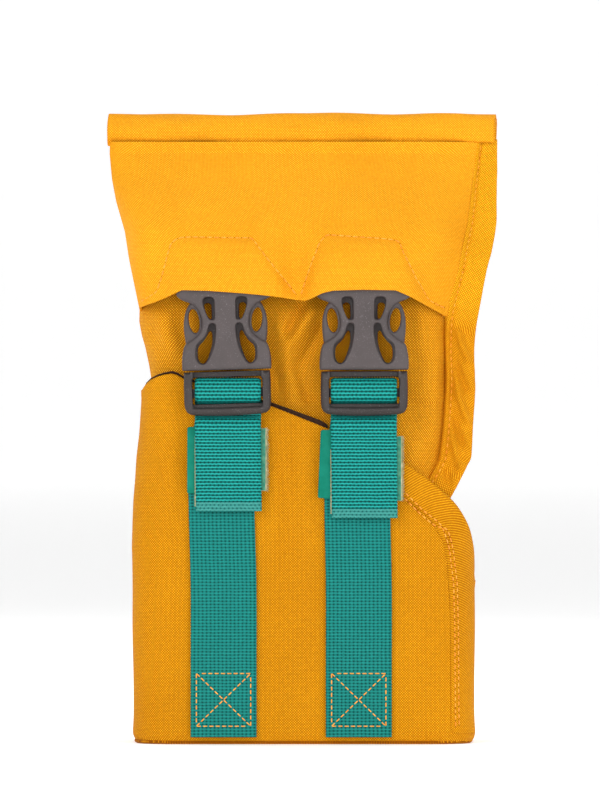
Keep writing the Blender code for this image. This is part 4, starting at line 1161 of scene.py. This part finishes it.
def moulded(name, solid, cuts=(), joins=(), voxel=0.2, smooth=5, shape=None):
    """Booleans, then a fine remesh and a little smoothing, so the edges are as soft as moulded plastic."""
    for kind, tools in (("UNION", joins), ("DIFFERENCE", cuts)):
        for t in tools:
            md = solid.modifiers.new("b", "BOOLEAN")
            md.operation = kind
            md.solver = "EXACT"
            md.object = t
    md = solid.modifiers.new("r", "REMESH")
    md.mode = "VOXEL"
    md.voxel_size = voxel * 0.001
    md = solid.modifiers.new("s", "SMOOTH")
    md.factor = 0.5
    md.iterations = smooth
    g = bpy.context.evaluated_depsgraph_get()
    g.update()
    mesh = bpy.data.meshes.new_from_object(solid.evaluated_get(g))
    for t in [solid, *cuts, *joins]:
        bpy.data.objects.remove(t, do_unlink=True)
    if shape:
        co = np.empty(len(mesh.vertices) * 3)
        mesh.vertices.foreach_get("co", co)
        co = co.reshape(-1, 3) * 1000
        co = shape(co)
        mesh.vertices.foreach_set("co", (co * 0.001).reshape(-1))
        mesh.update()
    mesh.name = name
    mesh.materials.clear()
    mesh.materials.append(PLASTIC)
    mesh.shade_smooth()
    return mesh


def mir(pts):
    return [(-x, z) for x, z in reversed(pts)]


HALF = [(14.6, 181.4), (14.9, 178.0), (15.0, 174.6), (17.0, 173.4), (18.3, 171.5), (17.7, 170.0), (15.9, 168.8), (13.6, 167.9),
        (11.6, 166.7), (9.9, 164.4), (9.05, 161.6), (9.0, 159.2), (9.6, 157.2), (10.9, 155.4), (12.9, 153.8),
        (14.7, 152.8), (15.7, 151.7), (16.4, 149.4), (16.8, 146.5), (16.9, 143.6), (16.75, RING_Z)]


def female_mesh():
    half = closed_spline([(0.0, 181.4)] + HALF + [(0.0, RING_Z)], corners=(0, 1, 21, 22))
    cut_i = [i for i, q in enumerate(half) if q[0] >= -1e-6]
    right = [tuple(half[i]) for i in cut_i]
    # the outline runs from the top middle down the right side to the bottom middle
    right = right[:int(np.argmin([abs(q[0]) + abs(q[1] - RING_Z) for q in right])) + 1]
    outline = right + [(-x, z) for x, z in reversed(right[1:-1])]
    y0, y1 = -THICK / 2, THICK / 2
    body = prism_obj("f", outline, y0, y1)
    cuts = []
    upper = closed_spline([(4.05, 162.0), (4.05, 165.5), (4.1, 168.6), (5.0, 169.7), (6.6, 169.9), (7.9, 169.5), (8.35, 168.2), (8.0, 166.0), (7.0, 163.2), (6.1, 161.6), (4.8, 161.2)])
    lower = closed_spline([(3.75, 158.4), (4.3, 159.7), (5.6, 159.9), (6.4, 159.0), (7.1, 156.7), (8.4, 154.4), (10.2, 152.9), (11.2, 151.6), (11.6, 149.8), (11.5, 147.0), (10.8, 145.4), (9.3, 144.5), (7.9, 144.9), (6.6, 146.7), (5.0, 150.2), (4.1, 154.2)])
    upper_b = closed_spline([(5.2, 162.0), (5.2, 164.5), (5.3, 166.9), (6.2, 167.7), (7.3, 167.6), (8.0, 166.9), (7.7, 165.2), (7.0, 163.2), (6.2, 161.8), (5.5, 161.4)])
    lower_b = closed_spline([(5.2, 155.6), (5.6, 157.0), (6.3, 156.9), (7.3, 155.1), (8.6, 153.2), (10.0, 151.9), (10.7, 150.6), (10.9, 148.9), (10.8, 146.9), (10.2, 145.5), (9.1, 144.8), (8.1, 145.2), (7.2, 146.6), (6.0, 149.8), (5.3, 152.8)])
    back_plate = THICK / 2 - 1.5
    for w, w2 in ((upper, upper_b), (lower, lower_b)):
        for q in (list(map(tuple, w)), mir(list(map(tuple, w)))):
            cuts.append(prism_obj("c", q, y0 - 1, back_plate - 0.02))
        for q in (list(map(tuple, w2)), mir(list(map(tuple, w2)))):
            cuts.append(prism_obj("c", q, back_plate - 0.4, y1 + 1))
    rounds = [(np.array(outline), 1.25, True)]
    for w in (upper, lower):
        rounds += [(w, 0.6, False), (np.array(mir(list(map(tuple, w)))), 0.6, False)]
    half_gap = THICK / 2 - 1.45
    space = [(4.7, 141.0), (15.2, 141.0), (15.2, 150.3), (22.0, 150.3), (22.0, 168.6), (4.7, 168.6)]
    for q in (space, mir(space)):
        cuts.append(prism_obj("c", q, -half_gap, half_gap))
    cuts.append(prism_obj("c", [(-11.4, 174.2), (11.4, 174.2), (11.4, 178.0), (-11.4, 178.0)], y0 - 1, y1 + 1))
    for a, b in ((y0 - 1, -1.8), (1.8, y1 + 1)):
        cuts.append(prism_obj("c", [(-20, 175.3), (20, 175.3), (20, 183), (-20, 183)], a, b))

    def shape(co):
        keep = co[:, 2] < 173.5
        co = np.where(keep[:, None], fillet(co, rounds, THICK / 2, THICK / 2), co)
        x, y, z = co.T
        # the ring swells a little, the flare at the top curls forward at its tips, the waist is thinner
        s = np.sign(y)
        grow = 0.75 * np.exp(-((z - 145.5) / 5.0) ** 2) * (1 - (x / 19.0) ** 2) - 0.35 * np.exp(-((z - 160) / 8.0) ** 2) * np.clip(np.abs(x) / 9, 0, 1)
        flare = -0.5 * np.clip((np.abs(x) - 12.5) / 6.0, 0, 1) ** 1.5 * np.exp(-((z - 171.0) / 4.0) ** 2)
        crown = -0.30 * (np.abs(x) / 16.8) ** 3 * np.exp(-((z - 147) / 10.0) ** 2)
        y2 = y + s * (grow + crown) * (np.abs(y) / 4.0) - flare * (y < 0)
        return np.stack([x, y2, z], 1)

    return moulded("female_buckle_mesh", body, cuts, voxel=0.21, smooth=4, shape=shape)


def male_mesh():
    y0, y1 = -3.8, 3.0
    low = [(-16.3, 141.6), (-16.45, 137.0), (-16.45, 133.0), (-16.4, 129.6), (-16.0, 127.4), (-14.8, 125.9), (-12.8, 125.35), (-8.0, 125.0), (0.0, 124.8)]
    outline = closed_spline(low + mir(low)[1:], corners=(0, 16))
    body = prism_obj("m", [tuple(q) for q in outline], y0, y1)
    op = closed_spline([(-13.3, 130.0), (-13.1, 128.6), (-12.0, 127.95), (-6, 127.85), (0, 127.8), (6, 127.85), (12.0, 127.95), (13.1, 128.6), (13.3, 130.0), (13.3, 137.5), (13.0, 139.0), (12.2, 139.5), (1.6, 139.5), (0.0, 139.1), (-1.6, 139.5), (-12.2, 139.5), (-13.0, 139.0), (-13.3, 137.5)])
    cuts = [prism_obj("c", [tuple(q) for q in op], y0 - 1, y1 + 1),
            prism_obj("c", [(-13.3, 123.0), (13.3, 123.0), (13.3, 128.6), (-13.3, 128.6)], 1.0, y1 + 1),
            prism_obj("c", [(-13.0, 139.2), (13.0, 139.2), (13.0, 143.0), (-13.0, 143.0)], y0 - 1, 0.6)]
    bar = prism_obj("b", [(-14.4, 131.9), (14.4, 131.9), (14.4, 135.2), (-14.4, 135.2)], -1.5, 1.0)
    step = prism_obj("b", [(-14.0, 127.0), (14.0, 127.0), (14.0, 129.35), (-14.0, 129.35)], -0.7, 0.9)

    def shape(co):
        x, y, z = co.T
        bar_ = (np.abs(x) < 13.9) & (((z > 128.3) & (z < 136.0)) | (z > 138.9) | (y > -2.4))
        co = np.where(bar_[:, None], co, fillet(co, [(outline, 1.6, True), (op, 1.0, False)], 3.8, 3.0))
        x, y, z = co.T
        s = np.where(y < 0, 1.0, 0.0)
        round_low = 0.9 * np.clip((127.5 - z) / 3.0, 0, 1) ** 2 * s
        crown = 0.35 * (np.abs(x) / 16.4) ** 4 * s
        return np.stack([x, y + round_low + crown, z], 1)

    # the bar is joined after the opening is cut, so it stays
    for t in cuts:
        md = body.modifiers.new("b", "BOOLEAN"); md.operation = "DIFFERENCE"; md.solver = "EXACT"; md.object = t
    g = bpy.context.evaluated_depsgraph_get(); g.update()
    m2 = bpy.data.meshes.new_from_object(body.evaluated_get(g))
    solid = bpy.data.objects.new("m2", m2)
    bpy.context.scene.collection.objects.link(solid)
    for t in [body, *cuts]:
        bpy.data.objects.remove(t, do_unlink=True)
    return moulded("male_buckle_mesh", solid, (), (bar, step), shape=shape)


def prong_mesh():
    """The prong at +x, with its button and oval hole."""
    pts = [(14.95, 143.0), (14.95, 147.0), (14.95, 151.2), (15.35, 153.2), (15.75, 156.4), (15.85, 159.6), (15.5, 162.8), (14.6, 165.6), (13.3, 167.7),
           (12.2, 168.3), (11.1, 167.7), (9.6, 165.4), (8.6, 162.2), (8.4, 159.0), (9.0, 156.2), (10.4, 153.9), (11.7, 152.2), (12.1, 150.4), (12.1, 147.0), (12.1, 143.0)]
    outline = closed_spline(pts, corners=(0, 19))
    body = prism_obj("p", [tuple(q) for q in outline], -PRONG_T / 2, PRONG_T / 2)
    hole = []
    for i in range(40):
        a = 2 * math.pi * i / 40
        hx, hz = 2.0 * math.cos(a), 4.6 * math.sin(a)
        c, s = math.cos(D2R(-7)), math.sin(D2R(-7))
        hole.append((11.9 + hx * c - hz * s, 161.0 + hx * s + hz * c))
    cuts = [prism_obj("c", hole, -4, 4)]
    def shape(co):
        keep = co[:, 2] > 146.0
        return np.where(keep[:, None], fillet(co, [(outline, 1.4, True), (np.array(hole), 0.9, False)], PRONG_T / 2, PRONG_T / 2), co)

    return moulded("prong_mesh", body, cuts, voxel=0.19, smooth=4, shape=shape)


FEMALE, MALE, PRONG = female_mesh(), male_mesh(), prong_mesh()


def place(name, mesh, cx, body, node, flip=False, tilt=0.0, mat=None):
    m_ = mesh.copy()
    if mat:
        m_.materials.clear()
        m_.materials.append(mat)
    co = np.empty(len(m_.vertices) * 3)
    m_.vertices.foreach_get("co", co)
    co = co.reshape(-1, 3)
    if flip:
        co[:, 0] *= -1
    c, s_ = math.cos(D2R(tilt)), math.sin(D2R(tilt))
    dx, dz_ = co[:, 0].copy(), co[:, 2] - RING_Z * 0.001
    co[:, 0] = dx * c - dz_ * s_
    co[:, 2] = RING_Z * 0.001 + dx * s_ + dz_ * c
    co += np.array([cx + SX, BY + SY, 0.0]) * 0.001
    m_.vertices.foreach_set("co", co.reshape(-1))
    if flip:
        m_.flip_normals()
    m_.update()
    o = bpy.data.objects.new(name, m_)
    bpy.context.scene.collection.objects.link(o)
    put(o, body, [node])
    return o


for side, cx in (("left", LX), ("right", RX)):
    tilt = 1.6 if side == "left" else 0.2
    place(side + "_female_half", FEMALE, cx, "dry_bag", side + "_female_buckle", tilt=tilt)
    place(side + "_male_half", MALE, cx, "holster", side + "_male_buckle", tilt=tilt, mat=PLASTIC_SHADED)
    outer_flip = side == "left"
    place(side + "_button_outer", PRONG, cx, side + "_prong_outer", side + "_prong_outer", flip=outer_flip, tilt=tilt)
    place(side + "_button_inner", PRONG, cx, side + "_prong_inner", side + "_prong_inner", flip=not outer_flip, tilt=tilt)
for m_ in (FEMALE, MALE, PRONG):
    bpy.data.meshes.remove(m_)

# webbing loops that hold the female halves under the yoke
for side, cx in (("left", LX), ("right", RX)):
    path = [(BY + 4.6, 193.0), (BY + 4.3, 188.0), (BY + 3.0, 182.5), (BY + 2.75, 179.0), (BY + 2.5, 176.9), (BY + 1.5, 175.4), (BY, 175.0),
            (BY - 1.5, 175.4), (BY - 2.5, 176.9), (BY - 2.75, 179.0), (BY - 2.7, 182.4), (BY - 0.6, 186.5), (BY + 2.0, 190.0), (BY + 2.7, 193.0)]
    strip(side + "_anchor_webbing", path, [cx] * len(path), 21.0, TEAL_FLAT, "dry_bag", [side + "_anchor_loop"], thick=1.1, rib_h=0.05)

# ------------------------------------------------------------------ rolled top

ROLL_Y, ROLL_Z = -1.6, 233.5
turns = 2.6
th = np.linspace(0, 2 * math.pi * turns, 180)
rad = 3.4 + (7.9 - 3.4) * th / th[-1]
NX = 160
xs = np.linspace(-75.0, 73.0, NX)
P = np.zeros((len(th), NX, 3))
for i, x in enumerate(xs):
    sag = 0.55 * math.sin(x / 19.0) + 0.35 * math.sin(x / 8.3 + 1.0)
    squash = 1.0 - 0.05 * (abs(x) / 75.0) ** 2
    ang = th + math.pi + 0.04 * math.sin(x / 20.0)
    dent = (0.22 * np.sin(ang * 3 + x / 11.0) + 0.16 * np.sin(ang * 5 - x / 5.0) - 0.12) * (th / th[-1])
    P[:, i, 0] = x + 0.6 * np.sin(th * 1.1)
    P[:, i, 1] = ROLL_Y + (rad + dent) * np.cos(ang + math.pi)
    P[:, i, 2] = ROLL_Z + (rad * squash + dent) * 0.96 * np.sin(ang + math.pi) + sag * 0.4
UV = np.zeros(P.shape[:2] + (2,))
UV[..., 0] = xs[None, :]
UV[..., 1] = np.concatenate([[0], np.cumsum(np.linalg.norm(np.diff(P[:, 0], axis=0), axis=1))])[:, None]
roll = grid_mesh("rolled_top_fabric", P, UV, YOKE)
thicken(roll, 0.8, offset=-1.0)
put(roll, "roll_top", ["rolled_top"])

# the cloth that runs from the back of the bag's mouth up into the roll, drawn in one fixed bend
line = spline([(7.4, 218.0), (6.2, 220.4), (4.9, 222.6), (3.9, 224.2), (3.9, 225.6), (4.8, 227.2), (6.5, 229.7), (7.3, 232.7), (7.1, 236.0), (5.6, 239.0)], 0.5)
NXN = 150
xs = np.linspace(-74.2, 71.8, NXN)
P = np.zeros((len(line), NXN, 3))
for i, x in enumerate(xs):
    e = 1.0 if abs(x + 1.2) < 70 else 0.9
    P[:, i, 0] = x * np.interp(line[:, 1], [218.0, 226.0, 239.0], [0.975, 0.99, 0.985])
    P[:, i, 1] = line[:, 0] + 0.15 * math.sin(x / 6.0) + 0.12 * math.sin(x / 2.9)
    P[:, i, 2] = line[:, 1]
UV = np.zeros(P.shape[:2] + (2,))
UV[..., 0] = xs[None, :]
UV[..., 1] = np.linspace(0, 22, len(line))[:, None]
neck = grid_mesh("roll_neck_fabric", P, UV, THROAT_BRIGHTENED, centre=np.array([0.0, -60.0, 229.0]))
thicken(neck, 0.6, offset=-1.0)
g = bpy.context.evaluated_depsgraph_get(); g.update()
final = bpy.data.meshes.new_from_object(neck.evaluated_get(g))
neck.modifiers.clear()
neck.data = final
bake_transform(neck)

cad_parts["closure_stiffener"].data.materials.clear()
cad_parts["closure_stiffener"].data.materials.append(STRIP)

# ------------------------------------------------------------------ stage, light, camera

def stage_mesh():
    prof = [(0.0, 0.0), (0.6, 0.0), (1.6, 0.0), (4.0, 0.0), (8.0, 0.0), (11.0, 0.0)]
    for k in range(1, 11):
        a = D2R(90 * k / 10)
        prof.append((11.0 + 1.5 * math.sin(a), 1.5 - 1.5 * math.cos(a)))
    prof.append((12.5, 9.5))
    turns_ = 72
    v, f = [(0.0, 0.0, 0.0)], []
    for r, z in prof[1:]:
        v += [(r * math.cos(2 * math.pi * k / turns_), r * math.sin(2 * math.pi * k / turns_), z) for k in range(turns_)]
    for k in range(turns_):
        f.append([0, 1 + k, 1 + (k + 1) % turns_])
    for i in range(len(prof) - 2):
        for k in range(turns_):
            a, b = 1 + i * turns_ + k, 1 + i * turns_ + (k + 1) % turns_
            f.append([a, a + turns_, b + turns_, b])
    mesh = bpy.data.meshes.new("studio_floor")
    mesh.from_pydata(v, [], f)
    mesh.shade_smooth()
    M = Mat("floor_pale", roughness=0.8, spec=0.1)
    M.b.inputs["Base Color"].default_value = (0.93, 0.93, 0.93, 1)
    M.b.inputs["Emission Color"].default_value = (1.0, 1.0, 1.0, 1)
    M.b.inputs["Emission Strength"].default_value = 0.30
    mesh.materials.append(M.m)
    o = bpy.data.objects.new("studio_floor", mesh)
    bpy.context.scene.collection.objects.link(o)


stage_mesh()
world = bpy.data.worlds.new("studio")
bpy.context.scene.world = world
world.use_nodes = True
world.node_tree.nodes["Background"].inputs[0].default_value = (1.0, 1.0, 1.0, 1)
world.node_tree.nodes["Background"].inputs[1].default_value = 0.42


def area(name, at, look, size, power, color=(1, 1, 1)):
    d = bpy.data.lights.new(name, "AREA")
    d.shape = "RECTANGLE"
    d.size, d.size_y = size
    d.energy = power
    d.color = color
    o = bpy.data.objects.new(name, d)
    bpy.context.scene.collection.objects.link(o)
    o.location = at
    o.rotation_euler = (Vector(look) - Vector(at)).to_track_quat("-Z", "Y").to_euler()
    o.visible_camera = False
    return o


area("key", (-0.85, -1.35, 0.80), (0, 0, 0.13), (0.7, 0.7), 8.2)
area("front", (0.05, -2.1, 0.12), (0, 0, 0.13), (1.5, 1.1), 14.5)
area("fill", (1.0, -1.1, 0.45), (0, 0, 0.13), (0.9, 0.9), 5.0)
area("top", (0.1, 0.1, 1.5), (0, 0, 0.1), (1.0, 0.8), 5.0)
area("back_left", (-0.9, 0.9, 0.8), (0, 0, 0.13), (0.7, 0.7), 5.0)
area("back_right", (0.9, 1.0, 0.6), (0, 0, 0.13), (0.7, 0.7), 5.0)

cam = bpy.data.cameras.new("camera")
co = bpy.data.objects.new("camera", cam)
bpy.context.scene.collection.objects.link(co)
bpy.context.scene.camera = co
cx, cz = PX(300, 400)
DIST = 3.2
co.location = W((cx, -34.0, cz)) + np.array([0, -DIST, 0])
co.rotation_euler = (math.pi / 2, 0, 0)
cam.type = "PERSP"
cam.sensor_fit = "VERTICAL"
cam.sensor_height = 36.0
cam.lens = 36.0 * DIST / (800 * 0.379 * 0.001)
cam.clip_start, cam.clip_end = 0.05, 20
sc = bpy.context.scene
sc.view_settings.view_transform = "Standard"
sc.view_settings.look = "None"
sc.view_settings.exposure = 0.0
sc.view_settings.gamma = 1.0
